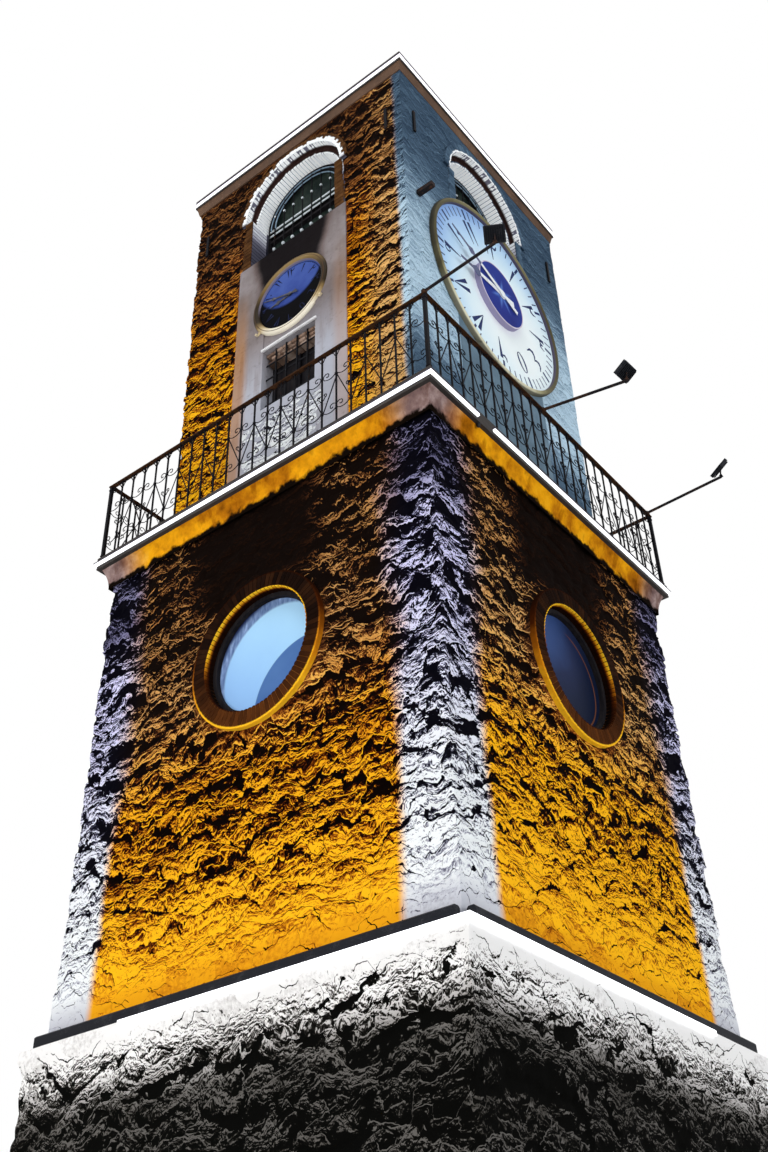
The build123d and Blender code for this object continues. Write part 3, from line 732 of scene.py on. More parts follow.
# Brick rows that bend round a centre, with straight jambs below the springing where asked
def brickRowTree():
    numbers = ("Course", "Inner", "Outer", "Front", "Depth", "Centre", "Sweep", "Joint", "Play")
    inputs = {"Bricks": "count", "Courses": "count", **dict.fromkeys(numbers, "number"), "Seed": "count"}
    sheet, entry = startTree("brickRow", {**inputs, "Material": "material"})
    get = entry.out
    index = sheet.put("GeometryNodeInputIndex")
    sockets = {"Count": get("Bricks") + 2 * get("Courses"), "Start Location": (0, 0, 0), "Offset": (1, 0, 0)}
    row = sheet.put("GeometryNodeMeshLine", {"mode": "OFFSET"}, sockets)

    # One brick with softened corners, which remembers where each point lay in its cube
    cube = sheet.put("GeometryNodeMeshCube", None, {"Size": (1, 1, 1), "Vertices X": 3, "Vertices Y": 3, "Vertices Z": 3})
    place = sheet.put("GeometryNodeInputPosition")
    x, y, z = sheet.split(place)
    softness = 1 - 0.13 * ((abs(x) + abs(y) + abs(z)) * 0.667 - 0.60).atLeast(0.0)
    softened = sheet.put("ShaderNodeVectorMath", {"operation": "SCALE"}, {0: place, "Scale": softness})
    sockets = {"Geometry": cube, "Name": "cut", "Value": sheet.vector("ADD", place, (0.5, 0.5, 0.5))}
    marked = sheet.put("GeometryNodeStoreNamedAttribute", {"data_type": "FLOAT_VECTOR"}, sockets)
    brick = sheet.put("GeometryNodeSetPosition", None, {"Geometry": marked, "Position": softened})

    # Each brick gets its own size and tint
    chance = {"Min": (-1, -1, -1), "Max": (1, 1, 1), "ID": index, "Seed": get("Seed")}
    playX, playY, playZ = sheet.split(sheet.put("FunctionNodeRandomValue", {"data_type": "FLOAT_VECTOR"}, chance))
    wide = 1 - get("Joint") + 0.6 * get("Play") * playX
    size = sheet.bundle(wide, 1 + get("Play") * playY, 1 + get("Play") * playZ)
    laid = sheet.put("GeometryNodeInstanceOnPoints", None, {"Points": row, "Instance": brick, "Scale": size})
    shade = sheet.put("FunctionNodeRandomValue", {"data_type": "FLOAT"}, {"ID": index, "Seed": get("Seed")}).out(1)
    settings = {"data_type": "FLOAT", "domain": "INSTANCE"}
    tinted = sheet.put("GeometryNodeStoreNamedAttribute", settings, {"Geometry": laid, "Name": "tint", "Value": shade})
    solid = sheet.put("GeometryNodeRealizeInstances", None, {"Geometry": tinted})

    # The straight row is bent round the centre
    x, y, z = sheet.split(sheet.put("GeometryNodeInputPosition"))
    along = x + 0.5 - get("Courses")
    bent = along.atLeast(0.0).atMost(get("Bricks"))
    angle = bent * get("Sweep") / get("Bricks")
    radius = get("Inner") + (z + 0.5) * (get("Outer") - get("Inner"))
    across = -1 * sheet.maths("COSINE", angle) * radius
    height = get("Centre") + sheet.maths("SINE", angle) * radius - abs(along - bent) * get("Course")
    position = sheet.bundle(across, (y + 0.5) * get("Depth") - get("Front"), height)
    return endTree(sheet, entry, sheet.put("GeometryNodeSetPosition", None, {"Geometry": solid, "Position": position}))


bricks = {
    "ring": dict(
        Bricks=84, Courses=0, Course=0.0, Inner=0.567, Outer=0.7195, Front=2.0335, Depth=0.10, Centre=windowHeight,
        Sweep=2 * math.pi, Joint=0.11, Play=0.015, Seed=3),
    "outerOrder": dict(
        Bricks=44, Courses=0, Course=0.0, Inner=0.7225, Outer=0.8315, Front=1.6345, Depth=0.118, Centre=archSpring,
        Sweep=math.pi, Joint=0.12, Play=0.05, Seed=8),
    "innerOrder": dict(
        Bricks=44, Courses=0, Course=0.0, Inner=0.6365, Outer=0.7235, Front=1.521, Depth=0.186, Centre=archSpring,
        Sweep=math.pi, Joint=0.12, Play=0.04, Seed=11),
    "surround": dict(
        Bricks=9, Courses=5, Course=0.34, Inner=0.476, Outer=0.668, Front=2.214, Depth=0.42,
        Centre=holes["doorSpring"], Sweep=math.pi, Joint=0.018, Play=0.004, Seed=21),
}
sill = dict(centre=(0, -2.0, 0.075), size=(0.95, 0.42, 0.15), bevel=0.012)
jambs = dict(
    courses=14, low=archFoot, high=archSpring, near=0.636, top=0.742, bottom=0.768, front=1.619, back=1.36,
    joint=0.10, bevel=0.007, ragged=0.012, proud=(-0.006, 0.004), tilt=0.02)


def brickNoise(finish, size, grit):
    return finish.attribute("tint"), finish.grain(size, 4.0, 0.6), finish.grain(grit, 3.0, 0.6)


def brickFinish(name, stops, mortar, dust):
    finish = Finish(name)
    tint, clouds, grit = brickNoise(finish, 9.0, 75.0)
    colour = finish.ramp((tint * 0.75 + clouds * 0.5 - 0.12).clipped(), stops)
    colour = finish.blend(finish.step(clouds, 0.52, 0.72) * dust, colour, mortar)
    colour = finish.blend(finish.fall(grit, 0.25, 0.5) * 0.4, colour, (0.35, 0.28, 0.22), "MULTIPLY")
    return finish.close(colour, 0.78 + 0.18 * clouds, grit * 0.5 + clouds, 0.004, shine=0.5)


windowRing = dict(side=0.702, foot=-0.75, head=0.45)
ringLight = [
    (0.0, (0.0020, 0.0008, 0.0004)), (0.25, (0.060, 0.012, 0.001)), (0.5, (0.30, 0.085, 0.004)),
    (0.75, (0.70, 0.26, 0.008)), (1.0, (0.96, 0.53, 0.020))]


def ringFinish():
    # The cut attribute says where on its brick a point lies, so soffit and outer edge take the light apart
    finish = Finish("ringBrick")
    deep, out = finish.split(finish.attribute("cut", "Vector"))[1:]
    up = finish.xyz()[2] - windowHeight
    tint, clouds, grit = brickNoise(finish, 9.0, 75.0)
    # Painted shade: the bricks start near black where no light reaches
    stops = [(0.0, (0.0025, 0.001, 0.0007)), (0.5, (0.010, 0.0038, 0.002)), (1.0, (0.034, 0.012, 0.004))]
    colour = finish.ramp((tint * 0.6 + clouds * 0.6 - 0.1).clipped(), stops)
    # Painted light: the ring's face is lit amber towards its bottom
    faceLitFromBelow = finish.step(up, -0.68, 0.1, 0.80, 0.0) * (0.35 + 1.1 * clouds * tint.atLeast(0.35))
    colour = finish.blend(faceLitFromBelow, colour, (0.115, 0.034, 0.007))
    belowLit = finish.step(up, windowRing["foot"], windowRing["head"], 1.15, 0.06) * (0.78 + 0.22 * tint + 0.3 * clouds)
    colour = finish.blend(finish.step(out, 0.88, 0.97), colour, finish.ramp(belowLit.clipped(), ringLight))
    soffit = finish.step(deep, 0.05, 0.60, 1.05, 0.04) * finish.step(up, -0.25, 0.30, 0.10, 1.0)
    soffit = soffit * (0.72 + 0.34 * tint + 0.2 * clouds)
    colour = finish.blend(finish.fall(out, 0.02, 0.09), colour, finish.ramp(soffit.clipped(), ringLight))
    return finish.close(colour, 0.86, grit * 0.5 + clouds, 0.004)


def ringMortarFinish():
    # The front's window is off the wall's middle, so the radius is worked out apart for it
    finish = Finish("ringMortar")
    x, y, z = finish.xyz()
    onFront = finish.step(0 - y - abs(x), 0.0, 0.1)
    across = abs(x - windowShift) * onFront + abs(x).atMost(abs(y)) * (1 - onFront)
    up = z - windowHeight
    clouds = finish.grain(12.0, 4.0, 0.6)
    # Painted shade and light: the mortar starts near black and is lit amber towards the bottom of the ring and on its
    # outer side
    colour = finish.ramp(clouds, [(0.3, (0.003, 0.0014, 0.001)), (0.7, (0.014, 0.006, 0.003))])
    colour = finish.blend(finish.step(up, -0.65, 0.0, 0.8, 0.0), colour, (0.28, 0.095, 0.018))
    belowLit = finish.step(up, windowRing["foot"], windowRing["head"], 1.10, 0.05) * (0.66 + 0.6 * clouds)
    side = finish.step(finish.length(across, up), windowRing["side"], windowRing["side"] + 0.008)
    colour = finish.blend(side, colour, finish.ramp(belowLit.clipped(), ringLight))
    return finish.close(colour, 0.92, clouds, 0.004)


# Arches: the undersides stand in painted white light, the fronts keep the wall's colour, which is painted tan light,
# blue on the right side
archLook = dict(stepBack=1.525, face=1.600, inner=0.656, outer=0.772, innerRight=0.652, outerRight=0.744)


def archFinish(name, share):
    finish = Finish(name)
    across, depth, z = finish.onWall()
    onRight = finish.step(finish.xyz()[0], 1.2, 1.3)
    tint, clouds, grit = brickNoise(finish, 7.0, 60.0)
    radius = finish.length(across, (z - archSpring).atLeast(0.0))

    # Lit: what lies within the edge of its order, but not a jamb's front
    fore = finish.step(depth, archLook["stepBack"] - 0.003, archLook["stepBack"] + 0.003)
    edge = finish.between(fore, archLook["inner"], archLook["outer"])
    edge = finish.between(onRight, edge, finish.between(fore, archLook["innerRight"], archLook["outerRight"]))
    ragged = (0.07 * (clouds - 0.5) + 0.060 * (tint - 0.5)) * (1 - 0.8 * onRight) * fore
    below = finish.fall(z, archSpring - 0.02, archSpring + 0.02)
    facing = finish.step(depth, archLook["face"] - 0.004, archLook["face"] + 0.004)
    lit = finish.fall(radius + ragged, edge - 0.006, edge + 0.008) * (1 - below * facing)
    amount = finish.step(z, 13.45, 14.10, 0.30, 1.05) * (0.76 + 0.26 * tint + 0.16 * clouds) * share
    white = finish.ramp(amount.clipped(), whiteLight)
    # Painted light on the fronts: a cloudy lit amount, stronger on the outer order
    frontLight = (0.08 + 0.62 * clouds * (0.6 + 0.5 * grit) + 0.12 * (tint - 0.5)) * share
    tan = finish.ramp(frontLight * (0.35 + 0.65 * fore), tanLight)
    wall = finish.blend(onRight, tan, finish.ramp((frontLight + 0.06).clipped(), blueLight))
    colour = finish.blend(lit, wall, white)

    # The step between the two orders stays in shade
    gap = finish.band(depth, 1.506, 1.513, 1.545, 1.575) * finish.step(radius, 0.664, 0.674) * (1 - below)
    shade = finish.blend(clouds, (0.010, 0.005, 0.005), (0.060, 0.030, 0.026))
    # The lit undersides also glow a little, as painted light
    glow = finish.blend(lit * (1 - gap), (0.0, 0.0, 0.0), white)
    return finish.close(finish.blend(gap, colour, shade), 0.88, grit * 0.5 + clouds, 0.004, glow=(glow, 0.25))


windowBrick = ringFinish()
archBrick = archFinish("archBrick", 1.0)
lintelBrick = brickFinish(
    "lintelBrick", [(0.0, (0.10, 0.055, 0.035)), (0.5, (0.26, 0.16, 0.11)), (1.0, (0.50, 0.36, 0.28))],
    (0.60, 0.52, 0.46), 0.4)
doorStone = brickFinish(
    "doorStone", [(0.0, (0.36, 0.33, 0.28)), (0.5, (0.50, 0.46, 0.40)), (1.0, (0.64, 0.60, 0.53))],
    (0.55, 0.52, 0.46), 0.3)


def makeJambs():
    # Stacks under each arch, toothed into the rubble and a little wider at each course down
    rng = random.Random(4)
    maker = Maker(6)
    step = (jambs["high"] - jambs["low"]) / jambs["courses"]
    for k in range(jambs["courses"]):
        share = 1 - (k + 0.5) / jambs["courses"]
        wide = jambs["top"] + (jambs["bottom"] - jambs["top"]) * share
        for sign in (-1, 1):
            outer = wide + rng.uniform(-jambs["ragged"], jambs["ragged"])
            front = jambs["front"] + rng.uniform(*jambs["proud"])
            centre = (sign * (outer + jambs["near"]) / 2, -(front + jambs["back"]) / 2, jambs["low"] + (k + 0.5) * step)
            size = (outer - jambs["near"], front - jambs["back"], step * (1 - jambs["joint"]))
            turn = Matrix.Rotation(rng.uniform(-jambs["tilt"], jambs["tilt"]), 4, "Y")
            maker.block(centre, size, jambs["bevel"], turn)
    settle(onSides(maker.done(archBrick)), "bricks.jambs")


def layBricks():
    tree = brickRowTree()
    rows = (("ring", windowBrick, "window_brick", onWindows), ("outerOrder", archBrick, "arch_brick", onSides),
            ("innerOrder", archBrick, "arch_brick", onSides))
    for name, finish, slot, spread in rows:
        settle(spread(grown(bareMesh(), tree, {**bricks[name], "Material": finish})), f"bricks.{name}")
    row = grown(bareMesh(), tree, {**bricks["surround"], "Material": doorStone})
    maker = Maker()
    maker.block(**sill)
    settle(joined([row, maker.done(doorStone)]), "doorSurroundStones", ("door_surround",))
    makeJambs()
    print("bricks laid")


layBricks()


# Plaster, slab, iron, glass and the other plain finishes
def plasterNoise(finish):
    clouds, runs = finish.grain(1.6, 5.0, 0.62), finish.grain(1.0, 4.0, 0.6, (5.5, 5.5, 0.7))
    trowel = finish.grain(14.0, 3.0, 0.6, (1.0, 1.0, 1.6))
    return clouds, runs, trowel, trowel + finish.grain(120.0, 2.0) * 0.12 + clouds


def plasterFinish(name, stops, stain):
    finish = Finish(name)
    clouds, runs, trowel, bump = plasterNoise(finish)
    colour = finish.ramp((clouds * 0.8 + runs * 0.35 - 0.08).clipped(), stops)
    colour = finish.blend(finish.step(runs, 0.50, 0.72) * 0.65, colour, stain, "MULTIPLY")
    colour = finish.blend(finish.fall(trowel, 0.25, 0.45) * 0.3, colour, (0.45, 0.40, 0.36), "MULTIPLY")
    return finish.close(colour, 0.86, bump, 0.006, shine=0.5)


def nicheFinish():
    # Infill of a bay: a painted shadow above the small dial, painted pale light beside the window below it, painted
    # amber light along the rubble
    finish = Finish("niche")
    across, _, z = finish.onWall()
    onRight = finish.step(finish.xyz()[0], -0.1, 0.1, 1.0, 0.45)
    clouds, runs, trowel, bump = plasterNoise(finish)
    stops = [(0.2, (0.11, 0.088, 0.084)), (0.5, (0.21, 0.178, 0.176)), (0.8, (0.36, 0.33, 0.34))]
    colour = finish.ramp((clouds * 0.8 + runs * 0.35 - 0.08).clipped(), stops)
    # Painted pale bluish light low down, by the window
    pale = finish.step(z + 0.5 * (clouds - 0.5), 10.9, 11.9, 0.75, 0.0)
    colour = finish.blend(pale, colour, (0.50, 0.53, 0.62))
    # Painted amber light along the edges by the rubble
    amber = finish.step(across + 0.10 * (runs - 0.5), 0.56, 0.70) * finish.fall(z + 0.6 * (clouds - 0.5), 11.6, 12.9)
    colour = finish.blend(amber * onRight * 0.70, colour, (0.42, 0.19, 0.05))
    colour = finish.blend(finish.step(runs, 0.52, 0.72) * 0.5, colour, (0.55, 0.45, 0.38), "MULTIPLY")
    colour = finish.blend(finish.fall(trowel, 0.25, 0.45) * 0.35, colour, (0.45, 0.40, 0.36), "MULTIPLY")
    # Painted shadow cast up by the dial's rim, red-brown at its edges
    inward = across + 0.10 * (clouds - 0.5) - 0.10 * finish.step(z, 12.5, 13.1)
    shade = finish.step(z, 12.18, 12.42) * finish.fall(inward, 0.36, 0.56)
    dark = finish.blend(finish.step(inward, 0.38, 0.50), (0.004, 0.003, 0.004), (0.060, 0.020, 0.010))
    return finish.close(finish.blend(shade * 0.97, colour, dark), 0.90, bump, 0.006)


def coveFinish():
    # Painted amber light, giving way to a darker pink-brown towards the corners, and a painted shadow along the lower
    # edge
    finish = Finish("covePlaster")
    across, _, z = finish.onWall()
    clouds, lumps = finish.grain(2.2, 5.0, 0.65), finish.grain(6.0, 4.0, 0.6)
    drips = finish.grain(1.0, 4.0, 0.6, (7.0, 7.0, 2.0))
    stops = [
        (0.30, (0.10, 0.026, 0.002)), (0.46, (0.46, 0.155, 0.004)), (0.60, (0.82, 0.36, 0.006)),
        (0.85, (0.95, 0.55, 0.03))]
    amber = finish.ramp((clouds * 0.7 + lumps * 0.35).clipped(), stops)
    ashen = finish.ramp(lumps, [(0.25, (0.055, 0.028, 0.030)), (0.5, (0.22, 0.14, 0.13)), (0.8, (0.52, 0.40, 0.38))])
    colour = finish.blend(finish.step(across + 0.5 * (clouds - 0.5), 1.42, 1.85), amber, ashen)
    colour = finish.blend(finish.step(drips, 0.54, 0.66) * 0.55, colour, (0.40, 0.26, 0.18), "MULTIPLY")
    # Painted shadow along the cove's lower edge
    edge = finish.fall(z + 0.20 * (lumps - 0.5) + 0.10 * (drips - 0.5), 8.985, 9.03)
    colour = finish.blend(edge, colour, (0.004, 0.002, 0.001))
    return finish.close(colour, 0.90, clouds + lumps * 0.8 + drips * 0.4, 0.016)


def ironFinish(name, dark, rust, rustFrom, rustTo):
    finish = Finish(name)
    z = finish.xyz()[2]
    scale, patches = finish.grain(30.0, 4.0, 0.6), finish.grain(6.0, 3.0)
    onTop = finish.band(z, 10.255, 10.262, 10.285, 10.295) * 0.22
    share = finish.step(patches * 0.6 + scale * 0.4 + onTop, rustFrom, rustTo)
    colour = finish.blend(share, dark, finish.ramp(scale, [(0.3, tuple(0.5 * value for value in rust)), (0.7, rust)]))
    bump = scale + 0.4 * finish.grain(170.0, 2.0)
    return finish.close(colour, 0.55 + 0.35 * share, bump, 0.0015, 0.04, 0.05)


def frontSky(finish, clouds):
    # The front's pane: a painted reflection of bright sky, a dark round painted reflection low on the right, and a hazy
    # rim
    x, _, z = finish.xyz()
    curve = finish.length(x - 0.572, z - 6.781)
    edge = finish.length(x - 0.215, z - 7.212)
    sky = finish.step(z + 0.6 * x + 0.4 * (clouds - 0.5), 6.8, 7.9)
    sky = finish.ramp(sky, [(0.0, (0.26, 0.47, 0.80)), (1.0, (0.36, 0.62, 0.86))])
    gloom = finish.blend(clouds, (0.040, 0.105, 0.30), (0.095, 0.20, 0.44))
    sky = finish.blend(finish.fall(curve, 0.570, 0.580), sky, gloom)
    streaks = finish.grain(1.0, 2.0, stretch=(34.0, 34.0, 9.0))
    hazy = finish.ramp(streaks, [(0.30, (0.055, 0.090, 0.23)), (0.55, (0.15, 0.22, 0.42)), (0.75, (0.30, 0.42, 0.68))])
    sky = finish.blend(finish.step(edge, 0.560, 0.592, 0.0, 0.9), sky, hazy)
    return finish.blend(finish.step(edge, 0.640, 0.70), sky, (0.012, 0.020, 0.070))


def sideNight(finish, clouds):
    # The right side's pane: a painted reflection of night sky with a faint painted arc of reflected brick
    _, y, z = finish.xyz()
    corner = finish.length(y + 0.42, z - 7.72)
    stops = [(0.0, (0.030, 0.062, 0.180)), (0.5, (0.012, 0.020, 0.060)), (1.0, (0.005, 0.009, 0.026))]
    night = finish.ramp(finish.step(corner + 0.2 * (clouds - 0.5), 0.15, 0.95), stops)
    arc = finish.band(finish.length(y + 0.02, z - 7.30), 0.465, 0.472, 0.480, 0.487)
    return finish.blend(arc * finish.step(y, 0.0, 0.2) * 0.8, night, (0.16, 0.055, 0.020))


def paneFinish():
    finish = Finish("roundPane")
    x, y, _ = finish.xyz()
    clouds = finish.grain(2.4, 3.0)
    onFront = finish.step(abs(y) - abs(x), -0.1, 0.1)
    colour = finish.blend(onFront, sideNight(finish, clouds), frontSky(finish, clouds))
    # The pane also glows faintly in its painted colour, as painted light
    return finish.close(colour, 0.35 + 0.08 * clouds, clouds, 0.001, glow=(colour, 0.10))


def darkGlass():
    finish = Finish("darkGlass")
    clouds = finish.grain(3.0, 3.0)
    colour = finish.ramp(clouds, [(0.3, (0.005, 0.011, 0.012)), (0.7, (0.034, 0.048, 0.040))])
    return finish.close(colour, 0.14 + 0.1 * clouds, clouds, 0.001, 0.03)


def paintFinish(name, colour, worn, roughness=0.45, metallic=0.0):
    finish = Finish(name)
    clouds, fine = finish.grain(7.0, 4.0, 0.6), finish.grain(90.0, 3.0, 0.6)
    share = finish.step(clouds * 0.65 + fine * 0.35, 0.50, 0.66) * 0.6
    colour = finish.blend(share, colour, worn)
    return finish.close(colour, roughness + 0.25 * share, fine + clouds, 0.0008, 0.04, metallic)


def woodFinish(name, stops, stretch=(16.0, 16.0, 1.3)):
    finish = Finish(name)
    grain = finish.grain(1.4, 5.0, 0.62, stretch)
    colour = finish.ramp((grain * 0.85 + finish.grain(2.0, 3.0) * 0.25 - 0.05).clipped(), stops)
    return finish.close(colour, 0.6 + 0.25 * grain, grain, 0.003, 0.03)


def lampFinish(name, node, dimFrom, dimTo, haze):
    low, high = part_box(node)
    finish = Finish(name)
    fine = finish.grain(14.0, 2.0)
    up = finish.step((finish.xyz()[2] - low[2]) / (high[2] - low[2]), dimFrom, dimTo)
    lit = finish.ramp(fine, [(0.3, (0.90, 0.93, 1.0)), (0.7, (1.0, 1.0, 1.0))])
    glow = finish.blend(up, lit, tuple(0.3 * value for value in haze))
    return finish.close(finish.blend(up, lit, haze), 0.4 + 0.1 * fine, fine, 0.0005, glow=(glow, 1.3))


plaster = nicheFinish()
# Painted light: the render by the large dial is painted in the floodlights' blue-white light
floodlitRender = plasterFinish(
    "dialWallRender", [(0.2, (0.050, 0.095, 0.140)), (0.5, (0.110, 0.185, 0.250)), (0.8, (0.23, 0.34, 0.43))],
    (0.62, 0.62, 0.62))
# Painted shade: the cast slabs are near black and the roof moulding dark brown, as they stand unlit
slabConcrete = plasterFinish(
    "castSlab", [(0.2, (0.008, 0.006, 0.005)), (0.5, (0.022, 0.017, 0.015)), (0.8, (0.060, 0.046, 0.040))],
    (0.50, 0.43, 0.37))
mouldingPlaster = plasterFinish(
    "moulding", [(0.2, (0.040, 0.018, 0.008)), (0.5, (0.110, 0.055, 0.028)), (0.8, (0.24, 0.14, 0.08))],
    (0.40, 0.33, 0.27))
floorConcrete = plasterFinish(
    "castFloor", [(0.2, (0.26, 0.24, 0.22)), (0.5, (0.42, 0.40, 0.37)), (0.8, (0.58, 0.56, 0.53))],
    (0.50, 0.43, 0.37))
cove = coveFinish()
blackIron = ironFinish("blackIron", (0.006, 0.006, 0.008), (0.060, 0.026, 0.012), 0.56, 0.74)
armIron = ironFinish("armIron", (0.014, 0.013, 0.015), (0.080, 0.040, 0.026), 0.50, 0.66)
paneGlass = paneFinish()
gloomGlass = darkGlass()
darkPaint = paintFinish("lampHousing", (0.014, 0.015, 0.019), (0.055, 0.055, 0.060), 0.5, 0.1)
frameWood = woodFinish("frameWood", [(0.3, (0.006, 0.006, 0.009)), (0.7, (0.024, 0.021, 0.022))])
floorWood = woodFinish("floorBoards", [(0.3, (0.20, 0.12, 0.06)), (0.7, (0.46, 0.32, 0.19))], (1.3, 16.0, 16.0))
ledgeStrip = lampFinish("ledgeStrip", "ledge_light_strips", 1.2, 1.3, (0.9, 0.9, 1.0))
balconyStrip = lampFinish("balconyStrip", "balcony_light_strip", 0.50, 0.66, (0.050, 0.045, 0.060))
roofStrip = lampFinish("roofStrip", "roof_light_strip", 0.62, 0.80, (0.46, 0.40, 0.56))
coat(cove, "balcony_cornice")
coat(slabConcrete, "balcony_slab", "roof_slab")
coat(mouldingPlaster, "roof_moulding")
coat(floorConcrete, "ground_floor")
coat(plaster, "dial_infills")
coat(floodlitRender, "plain_infill")
coat(blackIron, "railing_front", "railing_right", "railing_back", "railing_left", "wall_anchors")
coat(armIron, "wall_bracket")
coat(paneGlass, "round_window_panes")
coat(gloomGlass, "lunette_panes")
coat(frameWood, "round_window_frames", "lunette_frames", "small_windows")
coat(floorWood, "window_room_floor")
coat(ledgeStrip, "ledge_light_strips")
coat(balconyStrip, "balcony_light_strip")
coat(roofStrip, "roof_light_strip")
coat(darkPaint, "wall_washers")
coat(ringMortarFinish(), "brick_rings")
coat(archFinish("archMortar", 0.42), "brick_arches")
print("plain finishes on")


# Railing: scrolls between the bars, and collars where they cross
railing = dict(
    line=2.052, floor=9.32, bays=24, lowNode=0.20, highNode=0.62, rail=0.93, rod=0.0052,
    collar=(0.027, 0.024, 0.030), knuckle=(0.044, 0.044, 0.022), knuckleHeights=(0.035, 0.90))


def curl(start, bend, centre, radius, turns, clockwise, points=11):
    # A bar that leaves start, swings past bend and closes in round centre
    first = math.atan2(bend[1] - centre[1], bend[0] - centre[0])
    sign = -1 if clockwise else 1
    line = []
    for k in range(5):
        t = k / 5
        mid = (start[0] * (1 - t) + bend[0] * t, start[1] * (1 - t) + bend[1] * t)
        sag = 0.5 * math.sin(math.pi * t) * radius
        line.append((mid[0], mid[1] - sag))
    reach = math.hypot(bend[0] - centre[0], bend[1] - centre[1])
    for k in range(points):
        t = k / (points - 1)
        angle = first + sign * turns * 2 * math.pi * t
        r = reach * (1 - t) + 0.25 * radius * t
        line.append((centre[0] + r * math.cos(angle), centre[1] + r * math.sin(angle)))
    return line


def scrollMotif():
    bay = 2 * railing["line"] / railing["bays"]
    low, high, rail = railing["lowNode"], railing["highNode"], railing["rail"]
    right = [
        curl((0.004, low + 0.012), (bay * 0.70, low - 0.028), (bay * 0.72, low + 0.030), 0.034, 1.15, False),
        curl((bay - 0.004, high + 0.012), (bay * 0.36, high - 0.020), (bay * 0.34, high + 0.034), 0.034, 1.15, True),
        curl((0.004, rail - 0.07), (0.030, rail - 0.030), (0.030, rail - 0.006), 0.020, 0.9, False, 8),
        curl((bay - 0.004, rail - 0.07), (bay - 0.030, rail - 0.030), (bay - 0.030, rail - 0.006), 0.020, 0.9, True, 8),
        curl((0.004, low + 0.17), (0.034, low + 0.20), (0.036, low + 0.226), 0.022, 1.0, False, 8),
    ]
    points, edges = [], []
    for sign in (1, -1):
        for line in right:
            first = len(points)
            points += [(sign * x, 0.0, z) for x, z in line]
            edges += [(first + k, first + k + 1) for k in range(len(line) - 1)]
    return bareMesh(points, edges)


def scrollTree():
    numbers = dict.fromkeys(("Pitch", "Line", "Floor", "Rod"), "number")
    inputs = {"Motifs": "count", **numbers, "Material": "material"}
    sheet, entry = startTree("scrolls", inputs)
    get = entry.out
    path = sheet.put("GeometryNodeMeshToCurve", None, {"Mesh": entry})
    profile = sheet.put("GeometryNodeCurvePrimitiveCircle", None, {"Resolution": 4, "Radius": get("Rod")})
    bars = sheet.put("GeometryNodeCurveToMesh", None, {"Curve": path, "Profile Curve": profile, "Fill Caps": True})
    start = sheet.bundle(get("Pitch") * (0.5 - 0.5 * get("Motifs")), -1 * get("Line"), get("Floor"))
    sockets = {"Count": get("Motifs"), "Start Location": start, "Offset": sheet.bundle(get("Pitch"), 0.0, 0.0)}
    row = sheet.put("GeometryNodeMeshLine", {"mode": "OFFSET"}, sockets)
    panel = sheet.put("GeometryNodeInstanceOnPoints", None, {"Points": row, "Instance": bars})
    sockets = {"Count": 4, "Start Location": (0, 0, 0), "Offset": (0, 0, 0)}
    corners = sheet.put("GeometryNodeMeshLine", {"mode": "OFFSET"}, sockets)
    quarter = sheet.bundle(0.0, 0.0, sheet.put("GeometryNodeInputIndex") * (math.pi / 2))
    sockets = {"Points": corners, "Instance": panel, "Rotation": quarter}
    whole = sheet.put("GeometryNodeInstanceOnPoints", None, sockets)
    return endTree(sheet, entry, whole)


def hangScrolls():
    bay = 2 * railing["line"] / railing["bays"]
    values = {
        "Motifs": railing["bays"] // 2, "Pitch": 2 * bay, "Line": railing["line"], "Floor": railing["floor"],
        "Rod": railing["rod"], "Material": blackIron}
    settle(grown(scrollMotif(), scrollTree(), values), "railingScrolls")
    line, floor = railing["line"], railing["floor"]
    maker = Maker()
    for number in range(1, railing["bays"]):
        node = railing["lowNode"] if number % 2 else railing["highNode"]
        maker.block((-line + bay * number, -line, floor + node), railing["collar"], 0.004)
    for height in railing["knuckleHeights"]:
        maker.block((-line, -line, floor + height), railing["knuckle"], 0.005)
    settle(onSides(maker.done(blackIron)), "railingCollars")
    print("railing scrolls hung")


hangScrolls()


# Eastern digits drawn with tapering strokes, in a box one unit high
def ribbon(line, widths):
    left, right = [], []
    for k, (x, y) in enumerate(line):
        ax, ay = line[max(k - 1, 0)]
        bx, by = line[min(k + 1, len(line) - 1)]
        length = math.hypot(bx - ax, by - ay) or 1
        nx, ny = -(by - ay) / length, (bx - ax) / length
        half = widths[k] / 2
        left.append((x + nx * half, y + ny * half))
        right.append((x - nx * half, y - ny * half))
    return left + right[::-1]


def oval(cx, cy, rx, ry, thin, thick, steps=14):
    # Two half bows, thickest at the sides
    halves = []
    for start in (0, math.pi):
        angles = [start + math.pi * k / steps for k in range(steps + 1)]
        line = [(cx + rx * math.cos(angle), cy + ry * math.sin(angle)) for angle in angles]
        halves.append(ribbon(line, [thin + (thick - thin) * abs(math.cos(angle)) ** 1.5 for angle in angles]))
    return halves


def bar(x1, y1, x2, y2, first=0.17, second=0.02):
    return ribbon([(x1, y1), (x2, y2)], [first, second])


def dot(cx, cy, r, count=10):
    angles = [2 * math.pi * k / count for k in range(count)]
    return [(cx + r * math.cos(angle), cy + r * math.sin(angle)) for angle in angles]


